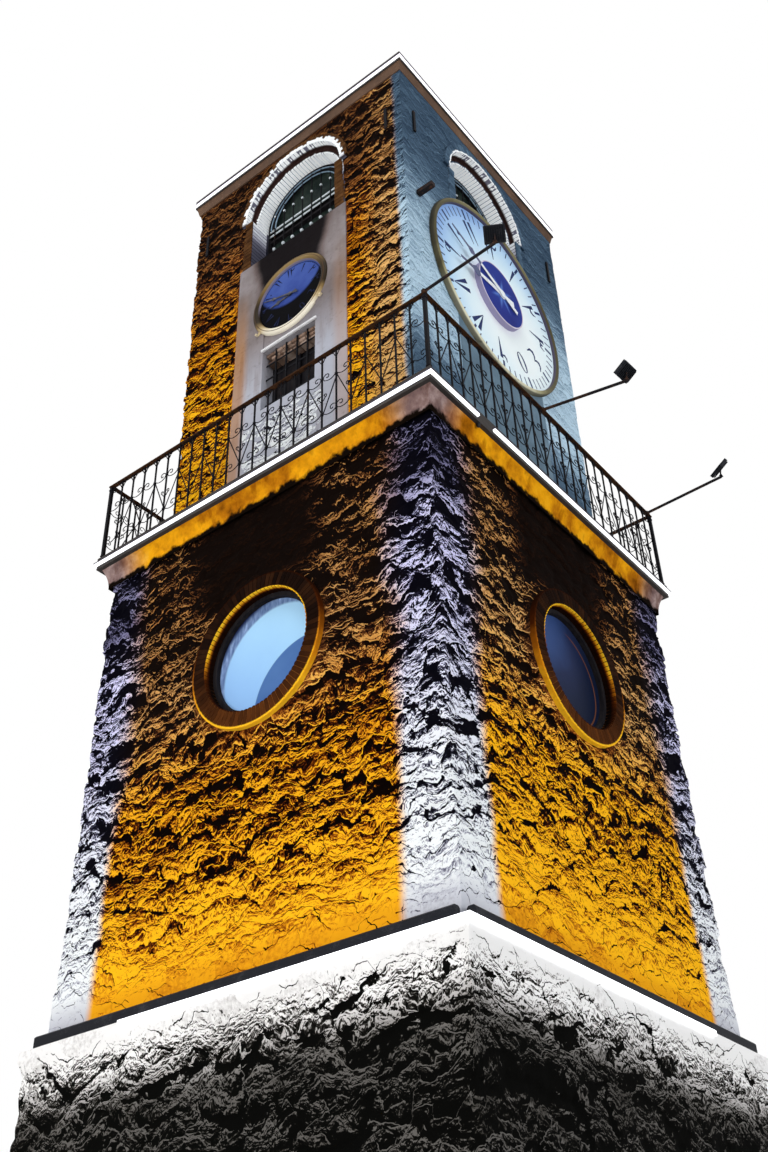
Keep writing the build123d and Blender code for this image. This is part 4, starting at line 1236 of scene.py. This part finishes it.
digits = {
    "0": (0.34, [dot(0.17, 0.48, 0.085)]),
    "1": (0.30, [bar(0.09, 1.0, 0.19, 0.0, 0.18)]),
    "2": (0.56, [
        bar(0.09, 1.0, 0.20, 0.0),
        ribbon([(0.12, 0.82), (0.22, 0.71), (0.35, 0.70), (0.45, 0.80), (0.50, 0.99)], [0.05, 0.10, 0.12, 0.09, 0.02])]),
    "3": (0.62, [
        bar(0.08, 1.0, 0.20, 0.0),
        ribbon([(0.11, 0.83), (0.19, 0.72), (0.28, 0.74), (0.33, 0.93)], [0.05, 0.10, 0.09, 0.03]),
        ribbon([(0.33, 0.91), (0.40, 0.72), (0.50, 0.74), (0.57, 0.99)], [0.03, 0.10, 0.09, 0.02])]),
    "4": (0.52, [
        ribbon([(0.46, 0.98), (0.22, 0.88), (0.13, 0.73), (0.22, 0.58), (0.38, 0.52)], [0.03, 0.09, 0.13, 0.09, 0.03]),
        ribbon([(0.38, 0.54), (0.15, 0.42), (0.07, 0.24), (0.18, 0.08), (0.48, 0.0)], [0.03, 0.10, 0.15, 0.11, 0.03])]),
    "5": (0.54, oval(0.27, 0.47, 0.20, 0.43, 0.03, 0.11)),
    "6": (0.56, [
        bar(0.38, 1.0, 0.46, 0.0, 0.18),
        ribbon([(0.03, 1.0), (0.06, 0.84), (0.17, 0.77), (0.33, 0.84)], [0.02, 0.08, 0.10, 0.05])]),
    "7": (0.60, [bar(0.09, 1.0, 0.29, 0.0, 0.20), bar(0.51, 1.0, 0.31, 0.0, 0.20)]),
    "8": (0.60, [bar(0.29, 1.0, 0.09, 0.0, 0.02, 0.20), bar(0.31, 1.0, 0.51, 0.0, 0.02, 0.20)]),
    "9": (0.56, [bar(0.38, 1.0, 0.46, 0.0, 0.18), *oval(0.19, 0.82, 0.12, 0.14, 0.035, 0.075)]),
}
digitGap = 0.05


def writeNumber(maker, text, placed, height, stretch, low, high):
    cursor = -(sum(digits[letter][0] for letter in text) + digitGap * (len(text) - 1)) / 2
    for letter in text:
        width, strokes = digits[letter]
        for stroke in strokes:
            outline = [((cursor + x) * height * stretch, (y - 0.5) * height) for x, y in stroke]
            maker.prism(outline, low, high, placed)
        cursor += width + digitGap


largeDial = dict(
    wall=1.61, height=12.35, numberRadius=0.82, numberHeight=0.30, stretch=0.98, low=0.0126, high=0.0152,
    tickOuter=1.128, tickInner=1.010, tickWidth=0.014, hourInner=0.994, hourWidth=0.032,
    rim=dict(inner=1.157, outer=1.2197, low=0.0, high=0.0639, plate=0.0049))
smallDial = dict(
    wall=1.61, height=12.18, numberRadius=0.352, numberHeight=0.115, stretch=1.05, low=-0.0104, high=-0.0084,
    tickOuter=0.426, tickInner=0.418, tickWidth=0.004, hourInner=0.418, hourWidth=0.004,
    rim=dict(inner=0.448, outer=0.5347, low=-0.0259, high=0.0279, plate=-0.0181))
clips = dict(angle=52, foot=(0.52, 0.575, 0.02, 0.002, 0.010), lug=(0.565, 0.59, 0.014, 0.008, 0.034))


def rimProfile(inner, outer, low, high, plate, steps=12):
    # A flat back, an outer edge, a half-round top and a drop to the plate behind the face
    middle, half, shoulder = (inner + outer) / 2, (outer - inner) / 2, low + 0.35 * (high - low)
    angles = [math.pi * k / steps for k in range(1, steps)]
    crown = [(middle + half * math.cos(angle), shoulder + (high - shoulder) * math.sin(angle)) for angle in angles]
    return [(0.0, low), (outer, low), (outer, shoulder), *crown, (inner, shoulder), (inner, plate), (0.0, plate)]


def plate(maker, inner, outer, half, low, high, placed):
    maker.prism([(inner, -half), (outer, -half), (outer, half), (inner, half)], low, high, placed)


def dialSpot(finish, dial):
    # Distance from the dial's centre across and up, and their radius
    across, _, z = finish.onWall()
    up = z - dial["height"]
    return across, up, finish.length(across, up)


def largeRimFinish():
    finish = Finish("largeRim")
    y = finish.xyz()[1]
    _, up, radius = dialSpot(finish, largeDial)
    clouds, streaks = finish.grain(3.2, 4.0, 0.6), finish.grain(1.0, 3.0, stretch=(9.0, 9.0, 2.5))
    # Painted light: the rim is lit pale gold low down and on the left, dim above, a little brighter at the top
    level = finish.step(up + 0.25 * y + 0.5 * (clouds - 0.5), -1.15, -0.35, 1.0, 0.34) + finish.step(up, 0.5, 1.1) * 0.22
    colour = finish.ramp(level.clipped(), [
        (0.2, (0.030, 0.026, 0.012)), (0.45, (0.115, 0.100, 0.046)), (0.7, (0.33, 0.30, 0.16)), (1.0, (0.74, 0.71, 0.52))])
    colour = finish.blend(finish.step(streaks, 0.54, 0.72) * 0.6, colour, (0.055, 0.046, 0.022))
    colour = finish.blend(finish.step(radius, 1.205, 1.215) * 0.75, colour, (0.028, 0.022, 0.014))
    # Painted shade on the rim's inner wall
    colour = finish.blend(finish.fall(radius, 1.159, 1.166), colour, (0.075, 0.065, 0.105))
    return finish.close(colour, 0.42 + 0.2 * clouds, finish.grain(60.0), 0.0006, 0.08, 0.05)


def smallRimFinish():
    finish = Finish("smallRim")
    _, up, radius = dialSpot(finish, smallDial)
    clouds = finish.grain(5.0, 4.0, 0.6)
    # Painted light: the rim is lit pale gold low down and a little at the top
    level = finish.step(up + 0.12 * (clouds - 0.5), -0.45, -0.12, 1.0, 0.14) + finish.step(up, 0.05, 0.45) * 0.34
    colour = finish.ramp(level.clipped(), [
        (0.15, (0.022, 0.014, 0.006)), (0.45, (0.22, 0.145, 0.055)), (0.75, (0.56, 0.44, 0.25)), (1.0, (0.84, 0.78, 0.64))])
    # Painted shade of a groove, as a dark ring
    groove = finish.band(radius, 0.492, 0.496, 0.503, 0.507)
    colour = finish.blend(groove * 0.75, colour, (0.070, 0.034, 0.014))
    # Painted highlight on the upper part of the inner edge
    innerHighlight = finish.fall(radius, 0.452, 0.460) * finish.step(up, -0.1, 0.15)
    colour = finish.blend(innerHighlight, colour, (0.19, 0.17, 0.23))
    return finish.close(colour, 0.42 + 0.2 * clouds, finish.grain(60.0), 0.0006, 0.08, 0.05)


def largeFaceFinish():
    # A pale face that darkens away from its lamp, a violet edge, and a navy disc with a star
    finish = Finish("largeFace")
    x, y, _ = finish.xyz()
    _, up, radius = dialSpot(finish, largeDial)
    out = x - largeDial["wall"]
    clouds, fine = finish.grain(1.3), finish.grain(40.0)
    away = finish.length(y - 0.35, up + 0.35) + 0.3 * (clouds - 0.5)
    glow = finish.ramp((away * 0.6).clipped(), [
        (0.25, (0.83, 0.90, 0.91)), (0.55, (0.70, 0.84, 0.90)), (0.78, (0.46, 0.66, 0.86)), (1.0, (0.22, 0.38, 0.74))])
    halo = finish.fall(radius + 0.04 * (clouds - 0.5), 0.43, 0.56)
    glow = finish.blend(halo * 0.55, glow, (0.76, 0.76, 0.84))
    rays = abs(finish.maths("SINE", finish.maths("ARCTAN2", up, y) * 4 + 0.6))
    star = finish.fall(radius + 0.14 * rays, 0.10, 0.30)
    navy = finish.ramp(clouds, [(0.3, (0.008, 0.014, 0.16)), (0.7, (0.016, 0.040, 0.29))])
    disc = finish.blend(star * 0.75, navy, (0.12, 0.24, 0.66))
    disc = finish.blend(finish.step(radius, 0.408, 0.413), disc, (0.62, 0.56, 0.66))
    colour = finish.blend(finish.step(out, 0.0135, 0.016), glow, (0.30, 0.27, 0.42))
    colour = finish.blend(finish.step(out, 0.078, 0.081), colour, disc)
    # The face also glows faintly in its own colour, as painted light
    return finish.close(colour, 0.40 + 0.1 * fine, fine, 0.0003, glow=(colour, 0.08))


def smallFaceFinish():
    # The rim keeps the light from below off the lower part
    finish = Finish("smallFace")
    across, up, radius = dialSpot(finish, smallDial)
    clouds = finish.grain(3.0, 4.0, 0.6)
    # Painted light: the face is a little lighter towards the top
    shares = (clouds * 0.8 + finish.step(up, -0.45, 0.45, 0.0, 0.25)).clipped()
    stops = [(0.2, (0.014, 0.026, 0.13)), (0.5, (0.040, 0.072, 0.29)), (0.9, (0.085, 0.145, 0.44))]
    ring = finish.band(radius, 0.425, 0.428, 0.434, 0.437)
    colour = finish.blend(ring, finish.ramp(shares, stops), (0.012, 0.018, 0.07))
    # Painted shadow of the rim: outside this circle the face goes near black
    lit = finish.step(finish.length(across, up - 0.33), 0.425, 0.475)
    colour = finish.blend(lit, colour, (0.0012, 0.0012, 0.002))
    return finish.close(colour, 0.50 + 0.15 * clouds, finish.grain(50.0), 0.0004)


def handFinish(name, dial, inner, outer, within):
    finish = Finish(name)
    radius = dialSpot(finish, dial)[2]
    clouds = finish.grain(22.0)
    colour = finish.blend(finish.step(radius, within - 0.004, within + 0.004), inner, outer)
    colour = finish.blend(finish.step(clouds, 0.5, 0.75) * 0.35, colour, (0.32, 0.30, 0.32))
    return finish.close(colour, 0.36 + 0.2 * clouds, clouds, 0.0005, shine=0.5, metallic=0.2)


def makeMarks(dial, placed):
    # Sixty ticks, wider at the hours, and the numbers, which stand with their feet to the centre
    maker = Maker()
    for minute in range(60):
        kind = "tick" if minute % 5 else "hour"
        turn = placed @ Matrix.Rotation(math.radians(90 - 6 * minute), 4, "Z")
        size = (dial[kind + "Inner"], dial["tickOuter"], dial[kind + "Width"] / 2)
        plate(maker, *size, dial["low"], dial["high"], turn)
    for hour in range(1, 13):
        angle = math.radians(90 - 30 * hour)
        centre = (dial["numberRadius"] * math.cos(angle), dial["numberRadius"] * math.sin(angle), 0)
        upright = placed @ Matrix.Translation(centre) @ Matrix.Rotation(angle - math.pi / 2, 4, "Z")
        writeNumber(maker, str(hour), upright, dial["numberHeight"], dial["stretch"], dial["low"], dial["high"])
    return maker


def makeLargeDial():
    placed = Matrix.Rotation(math.radians(90), 4, "Z") @ onFace(largeDial["wall"], 0, largeDial["height"])
    maker = Maker()
    maker.lathe(rimProfile(**largeDial["rim"]), 128, placed)
    settle(maker.done(largeRimFinish(), 40), "largeRim", ("large_dial_case",))
    coat(largeFaceFinish(), "large_dial_face")
    paint = paintFinish("largeMarks", (0.012, 0.026, 0.11), (0.04, 0.06, 0.18), 0.5)
    settle(makeMarks(largeDial, placed).done(paint), "largeMarks")
    hand = handFinish("largeHand", largeDial, (0.82, 0.86, 0.90), (0.014, 0.028, 0.13), 0.425)
    coat(hand, "large_minute_hand", "large_hour_hand")
    print("large dial made")


def makeSmallDials():
    placed = onFace(smallDial["wall"], 0, smallDial["height"])
    maker = Maker()
    maker.lathe(rimProfile(**smallDial["rim"]), 96, placed)
    for sign in (-1, 1):
        turn = placed @ Matrix.Rotation(math.radians(-90 + sign * clips["angle"]), 4, "Z")
        plate(maker, *clips["foot"], turn)
        plate(maker, *clips["lug"], turn)
    settle(onSides(maker.done(smallRimFinish(), 40), smallDialSides), "smallRims", ("small_dial_cases",))
    coat(smallFaceFinish(), "small_dial_faces")
    paint = paintFinish("smallMarks", (0.006, 0.009, 0.035), (0.02, 0.03, 0.09), 0.5)
    marks = makeMarks(smallDial, placed).done(paint)
    settle(onSides(marks, smallDialSides), "smallMarks")
    hand = handFinish("smallHand", smallDial, (0.014, 0.016, 0.035), (0.014, 0.016, 0.035), 0.2)
    for side in smallDialSides:
        coat(hand, f"{side}_minute_hand", f"{side}_hour_hand")
    print("small dials made")


makeLargeDial()
makeSmallDials()


# Lunettes: iron rods with balls, bars that follow the arch, and a light double transom
lunette = dict(
    face=1.362, reach=0.60, pitch=0.145, rodCount=8, rod=0.0085, balls=((13.555, 0.025), (14.16, 0.018)),
    bars=(13.85, 13.935), bar=(1.24, 0.012, 0.026), arcs=(0.600, 0.535), paleArcs=(0.568, 0.500), steps=28)


def makeLunettes():
    lightPaint = paintFinish("paleIron", (0.62, 0.68, 0.72), (0.24, 0.27, 0.28), 0.4, 0.1)
    # Painted highlight: two of the arch bars are light blue-grey
    arcHighlightPaint = paintFinish("arcIron", (0.20, 0.29, 0.38), (0.07, 0.10, 0.13), 0.4, 0.1)
    dark, pale, arcs = Maker(), Maker(), Maker()
    y, reach, rod = -lunette["face"], lunette["reach"], lunette["rod"]
    for k in range(lunette["rodCount"]):
        x = (k - (lunette["rodCount"] - 1) / 2) * lunette["pitch"]
        top = archSpring + math.sqrt(reach * reach - x * x)
        dark.tube([(x, y, archFoot + 0.03), (x, y, top)], rod, 6)
        for height, r in lunette["balls"]:
            ball = [(0, -r), (r * 0.7, -r * 0.7), (r, 0), (r * 0.7, r * 0.7), (0, r)]
            pale.lathe(ball, 10, Matrix.Translation((x, y, min(height, top - 0.05))))
    angles = [math.pi * k / lunette["steps"] for k in range(lunette["steps"] + 1)]
    for maker, radii in ((dark, lunette["arcs"]), (arcs, lunette["paleArcs"])):
        for r in radii:
            maker.tube([(r * math.cos(angle), y, archSpring + r * math.sin(angle)) for angle in angles], rod, 6)
    for x in (-reach, reach):
        dark.tube([(x, y, archFoot + 0.02), (x, y, archSpring)], rod, 6)
    for z in lunette["bars"]:
        pale.block((0, y + 0.012, z), lunette["bar"], 0.003)
    settle(onSides(arcs.done(arcHighlightPaint, 50)), "lunetteArcs")
    settle(onSides(dark.done(blackIron, 50)), "lunetteRods")
    settle(onSides(pale.done(lightPaint, 50)), "lunetteBars")
    print("lunette irons made")


makeLunettes()


# Small windows: iron bars, a lintel of three oversailing rows of brick, and a white edge over it
barredWindow = dict(
    low=10.66, high=11.52, half=0.37, face=1.555, bar=0.018, uprights=(-0.22, -0.075, 0.075, 0.22),
    levels=(10.76, 10.94, 11.14, 11.35), flat=(0.006, 0.024))
lintel = dict(
    rows=3, left=-0.37, right=0.366, shift=0.06, widths=(0.10, 0.13), least=0.03, joint=0.008,
    front=-1.505, setBack=0.016, top=11.49, drop=0.045, depth=0.10, height=0.036)
lintelEdge = dict(centre=(0, -1.612, 11.537), size=(0.78, 0.03, 0.030), bevel=0.006)


def makeSmallWindows():
    bars = Maker()
    y, thick, height = -barredWindow["face"], barredWindow["bar"], barredWindow["high"] - barredWindow["low"]
    for x in barredWindow["uprights"]:
        bars.block((x, y, barredWindow["low"] + height / 2), (thick, thick, height - 0.004), 0.002)
    for z in barredWindow["levels"]:
        bars.block((0, y + 0.011, z), (2 * barredWindow["half"] - 0.004, *barredWindow["flat"]), 0.001)
    settle(onSides(bars.done(blackIron), smallDialSides), "windowBars")
    maker = Maker()
    rng = random.Random(12)
    for row in range(lintel["rows"]):
        x = lintel["left"] + (row % 2) * lintel["shift"]
        while x < lintel["right"] - 0.006:
            width = min(rng.uniform(*lintel["widths"]), lintel["right"] - x)
            if width > lintel["least"]:
                centre = (x + width / 2, lintel["front"] + row * lintel["setBack"], lintel["top"] - row * lintel["drop"])
                maker.block(centre, (width - lintel["joint"], lintel["depth"], lintel["height"]), 0.004)
            x += width
    settle(onSides(maker.done(lintelBrick), smallDialSides), "windowLintels")
    edge = Maker()
    edge.block(**lintelEdge)
    whitePlaster = plasterFinish("whiteEdge", [(0.2, (0.62, 0.62, 0.64)), (0.8, (0.90, 0.90, 0.92))], (0.6, 0.55, 0.5))
    settle(onSides(edge.done(whitePlaster), smallDialSides), "lintelEdges")
    print("small windows made")


makeSmallWindows()


# Rubble left bare under each small window
patch = dict(half=0.63, low=9.325, high=10.64, front=1.638, back=1.585, relief=0.046, cell=0.022, shift=7.3)


def bareFinish():
    finish = Finish("bareRubble")
    z = finish.xyz()[2]
    speckle = finish.grain(30.0, 4.0, 0.65)
    spot = warped(finish, finish.attribute("plan", "Vector"))
    drawn = stages["upper"]["drawn"] * finish.attribute("hold")
    light, height = rakingLight(finish, spot, stages["upper"], drawn, 0.24 / (z - 9.15) + 0.05, 1)[:2]
    colour = finish.ramp((light * (0.88 + 0.4 * speckle)).clipped(), whiteLight)
    return finish.close(colour, 0.88, height * 0.5 + speckle * 0.25, 0.012)


def makePatches():
    # Proud of the infill in the middle, fading into it along a wavy line
    half, high, front, back = (patch[key] for key in ("half", "high", "front", "back"))
    x, z, number, quads = gridOf(lines(-half, half, patch["cell"]), lines(patch["low"], high, patch["cell"]))
    wave = 0.05 * np.sin(z * 9.1 + 2 * np.sin(z * 3.7)) + 0.05 * np.sin(x * 8.3 + 1.0) + 0.03 * np.sin(x * 21 + z * 17)
    fade = risen(np.minimum(half - np.abs(x), high - z) + wave, 0.04, 0.14, 0)
    y = -(front - (1 - fade) * (front - back - 0.004))
    rim = np.concatenate((number[0, :], number[1:, -1], number[-1, -2::-1], number[-2:0:-1, 0]))
    inner = len(x) + np.arange(len(rim))
    walls = np.stack((np.roll(rim, -1), rim, inner, np.roll(inner, -1)), axis=1)
    points = np.concatenate((triples(x, y, z), triples(x[rim], -back, z[rim])))
    mesh = bareMesh(points.tolist(), [], np.concatenate((quads, walls)).tolist() + [inner.tolist()])
    closeUp(mesh)
    hold = np.concatenate((np.ones(len(x)), np.zeros(len(rim))))
    record(mesh, push=triples(0.0, hold, 0.0), plan=triples(points[:, 0] + patch["shift"], points[:, 2], 0.0), hold=hold)
    values = {"Relief": patch["relief"], "Skim": 0.0, "Material": bareFinish()}
    settle(onSides(grown(mesh, rubbleTrees["upper"], values), smallDialSides), "bareRubble")
    print("bare rubble under the windows made")


makePatches()


# Floodlights: arms clamped on the right-hand rail, finned heads turned to the large dial
floods = {
    "near": dict(start=(2.052, -2.052, 10.3), end=(2.828, -2.052, 10.356)),
    "middle": dict(start=(2.052, -0.09, 10.3), end=(2.973, -0.09, 10.11)),
    "far": dict(start=(2.052, 2.02, 10.3), end=(2.949, 2.02, 10.324)),
}
floodShape = dict(
    arm=0.015, size=(0.190, 0.160, 0.055), rise=0.115, aim=(1.61, 0.0, 12.35), fins=9, clamp=(0.040, 0.052, 0.036),
    bolt=0.004, boltShifts=(-0.017, 0.017), foot=(0.03, 0.05, 0.008), neck=0.008)


def floodHead(metal, glass, head, turn):
    # A flat box with fins behind and a raised frame round its glass
    w, h, d = floodShape["size"]
    place = Matrix.Translation(head) @ turn
    plates = [((0, 0, 0.004), (w, h, d * 0.62), 0.006)]
    for k in range(floodShape["fins"]):
        x = (k / (floodShape["fins"] - 1) - 0.5) * (w - 0.024)
        plates.append(((x, 0, -d * 0.37), (0.005, h * 0.82, d * 0.24), 0.001))
    plates += [((x * (w / 2 - 0.006), 0, d * 0.42), (0.011, h, d * 0.15), 0.002) for x in (-1, 1)]
    plates += [((0, y * (h / 2 - 0.006), d * 0.42), (w - 0.02, 0.011, d * 0.15), 0.002) for y in (-1, 1)]
    for centre, size, bevel in plates:
        metal.block(place @ Vector(centre), size, bevel, turn)
    glass.block(place @ Vector((0, 0, d * 0.355)), (w - 0.022, h - 0.022, 0.006), 0.001, turn)


def makeFloods():
    metal, glass, arms = Maker(), Maker(), Maker()
    for flood in floods.values():
        start, end = Vector(flood["start"]), Vector(flood["end"])
        arms.tube([start - Vector((0.02, 0, 0)), start, end], floodShape["arm"], 14)
        arms.block(start - Vector((0, 0, 0.004)), floodShape["clamp"], 0.006)
        for shift in floodShape["boltShifts"]:
            bolt = [start + Vector((0, shift, -0.040)), start + Vector((0, shift, 0.024))]
            arms.tube(bolt, floodShape["bolt"], 6)
        head = end + Vector((0, 0, floodShape["rise"]))
        ahead = (Vector(floodShape["aim"]) - head).normalized()
        across = Vector((0, 0, 1)).cross(ahead).normalized()
        floodHead(metal, glass, head, Matrix((across, ahead.cross(across), ahead)).transposed().to_4x4())
        foot = end + Vector((0, 0, 0.012))
        arms.block(foot, floodShape["foot"], 0.002)
        arms.tube([foot, end + Vector((0, 0, 0.05)), head - ahead * (0.3 * floodShape["size"][2])], floodShape["neck"], 8)
    settle(arms.done(armIron, 50), "floodArms", ("floodlights",))
    settle(metal.done(darkPaint), "floodHeads")
    settle(glass.done(gloomGlass), "floodGlass")
    print("floodlights made")


makeFloods()


# Ledge lamps: lenses along the top and end caps; small dome under the balcony
washers = dict(
    line=2.075, half=2.010, top=4.605, module=1.06, gap=0.05, lens=(0.030, 0.004), cap=(0.010, 0.038, 0.004),
    capOut=0.012, screw=((0, 0), (0.004, 0), (0.004, 0.004), (0, 0.005)))
domeShape = dict(flange=0.018, shoulder=0.021, share=0.86, spring=0.024, rise=0.021, angles=(0.35, 0.75, 1.15), top=0.0455)


def makeWashers():
    lens, caps = Maker(), Maker()
    line, top, half = -washers["line"], washers["top"], washers["half"]
    stops = [-half, *(washers["module"] * k for k in (-1.5, -0.5, 0.5, 1.5)), half]
    for a, b in zip(stops, stops[1:]):
        middle, length = (a + b) / 2, b - a - washers["gap"]
        lens.block((middle, line, top - 0.0006), (length, *washers["lens"]), 0.001)
        for sign in (-1, 1):
            end = middle + sign * (length / 2 + washers["capOut"])
            caps.block((end, line, top + 0.0005), washers["cap"], 0.001)
            caps.lathe(washers["screw"], 8, Matrix.Translation((end, line, top + 0.002)))
    amber = paintFinish("amberLens", (0.95, 0.62, 0.22), (0.85, 0.45, 0.12), 0.15)
    settle(onSides(lens.done(amber)), "washerLenses")
    settle(onSides(caps.done(darkPaint)), "washerCaps")
    print("ledge lamps made")


def makeDome():
    low, high = (Vector(corner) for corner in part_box("dome_fixture"))
    centre, radius = (low + high) / 2, (high.x - low.x) / 2
    inner = radius * domeShape["share"]
    profile = [(0, 0.0), (radius, 0.0), (radius, domeShape["flange"]), (inner, domeShape["shoulder"])]
    for angle in domeShape["angles"]:
        profile.append((inner * math.cos(angle), domeShape["spring"] + domeShape["rise"] * math.sin(angle)))
    dome = Maker()
    flipped = Matrix.Translation((centre.x, centre.y, high.z)) @ Matrix.Rotation(math.pi, 4, "X")
    dome.lathe(profile + [(0, domeShape["top"])], 24, flipped)
    settle(dome.done(darkPaint, 40), "dome", ("dome_fixture",))
    print("dome made")


makeWashers()
makeDome()


# Door: boards, straps, studs and a ring
door = dict(
    half=0.479, spring=holes["doorSpring"], low=0.15, front=1.93, thick=0.06, boards=7, gap=0.005, archSteps=6,
    back=0.002, face=-0.003, stepBack=0.003)
straps = dict(heights=(0.45, 1.35, 1.95), half=0.03, point=0.06, back=-0.008, front=0.004, studs=0.13)
stud = ((0, 0.002), (0.014, 0.002), (0.010, 0.010), (0, 0.013))
pull = dict(
    x=0.30, z=0.98, radius=0.055, rod=0.006, out=0.014, steps=20, roseHeight=1.035,
    rose=((0, 0.0), (0.034, 0.0), (0.030, 0.007), (0.010, 0.010), (0, 0.022)))


def makeDoorBoards(placed):
    oak = woodFinish("doorBoards", [(0.25, (0.070, 0.040, 0.022)), (0.55, (0.17, 0.10, 0.055)), (0.85, (0.30, 0.20, 0.12))])
    maker = Maker()
    half, low, steps = door["half"], door["low"], door["archSteps"]
    width = 2 * half / door["boards"]
    for k in range(door["boards"]):
        left = -half + k * width + door["gap"] / 2
        right = left + width - door["gap"]
        across = [right + (left - right) * j / steps for j in range(steps + 1)]
        top = [(x, door["spring"] + math.sqrt(max(0.0, half ** 2 - x * x)) - 0.001) for x in across]
        face = door["face"] - door["stepBack"] * (k % 2)
        maker.prism([(left, low), (right, low), *top], door["back"] - door["thick"], face, placed)
    settle(maker.done(oak), "doorBoards", ("entrance_door",))


def makeDoorIron(placed):
    iron = Maker()
    half, spring, thick, point = door["half"], door["spring"], straps["half"], straps["point"]
    for z in straps["heights"]:
        reach = half - 0.03 if z < spring else math.sqrt(half ** 2 - (z - spring) ** 2) - 0.04
        tip = reach - point
        outline = [(-reach, z - thick), (tip, z - thick), (reach, z), (tip, z + thick), (-reach, z + thick)]
        iron.prism(outline, straps["back"], straps["front"], placed)
        x = -reach + 0.05
        while x < reach - 0.04:
            iron.lathe(stud, 8, placed @ Matrix.Translation((x, z, 0)))
            x += straps["studs"]
    ring = []
    for k in range(pull["steps"] + 1):
        angle = 2 * math.pi * k / pull["steps"]
        x, z = pull["x"] + pull["radius"] * math.cos(angle), pull["z"] + pull["radius"] * math.sin(angle)
        ring.append(placed @ Vector((x, z, pull["out"])))
    iron.tube(ring, pull["rod"], 6)
    iron.lathe(pull["rose"], 16, placed @ Matrix.Translation((pull["x"], pull["roseHeight"], 0)))
    settle(iron.done(blackIron, 50), "doorIron")


def makeDoor():
    placed = onFace(door["front"])
    makeDoorBoards(placed)
    makeDoorIron(placed)
    print("door made")


makeDoor()


# Light, world and floor
lamps = {
    "lowFront": dict(place=(-5.0, -24.0, 1.5), target=(0, 0, 8.5), power=2700, size=7.0, colour=(1.0, 0.98, 0.95)),
    "lowSide": dict(place=(24.0, -6.0, 1.5), target=(0, 0, 8.5), power=2400, size=7.0, colour=(0.96, 0.98, 1.0)),
    "highBack": dict(place=(-14.0, 18.0, 16.0), target=(0, 0, 8.0), power=2600, size=8.0, colour=(1.0, 1.0, 1.0)),
}
sky = dict(towards=(0.35, -0.75, 0.9), power=0.9, spread=25)


def hangLamp(name, kind, power, away):
    data = bpy.data.lights.new(name, kind)
    data.energy = power
    made = bpy.data.objects.new(name, data)
    made.rotation_euler = away.to_track_quat("Z", "Y").to_euler()
    scene.collection.objects.link(made)
    return made, data


def lightUp():
    world = bpy.data.worlds.new("studio")
    scene.world = world
    world.use_nodes = True
    sheet = Sheet(world.node_tree)
    sheet.tree.nodes.clear()
    path = sheet.put("ShaderNodeLightPath")
    seen = path.atLeast(path.out("Is Glossy Ray")).atLeast(path.out("Is Transmission Ray"))
    soft = sheet.put("ShaderNodeBackground", None, {"Color": (0.96, 0.97, 1.0, 1.0), "Strength": 0.50})
    shown = sheet.put("ShaderNodeBackground", None, {"Color": (1.0, 1.0, 1.0, 1.0), "Strength": 1.0})
    mixed = sheet.put("ShaderNodeMixShader", None, {0: seen, 1: soft, 2: shown})
    sheet.put("ShaderNodeOutputWorld", None, {"Surface": mixed})
    for name, lamp in lamps.items():
        away = Vector(lamp["place"]) - Vector(lamp["target"])
        made, data = hangLamp(name, "AREA", lamp["power"], away)
        made.location, data.size, data.color = lamp["place"], lamp["size"], lamp["colour"]
    data = hangLamp("sky", "SUN", sky["power"], Vector(sky["towards"]))[1]
    data.angle = math.radians(sky["spread"])
    ground = bareMesh([(-90, -90, 0), (90, -90, 0), (90, 90, 0), (-90, 90, 0)], [], [(0, 1, 2, 3)])
    finish = Finish("paleFloor")
    ground.materials.append(finish.close((0.84, 0.84, 0.83), 0.9, shine=0.5))
    floor = objectFor(ground, "floor")
    floor.location.z = -0.001


lightUp()
scene.view_settings.view_transform = "Standard"
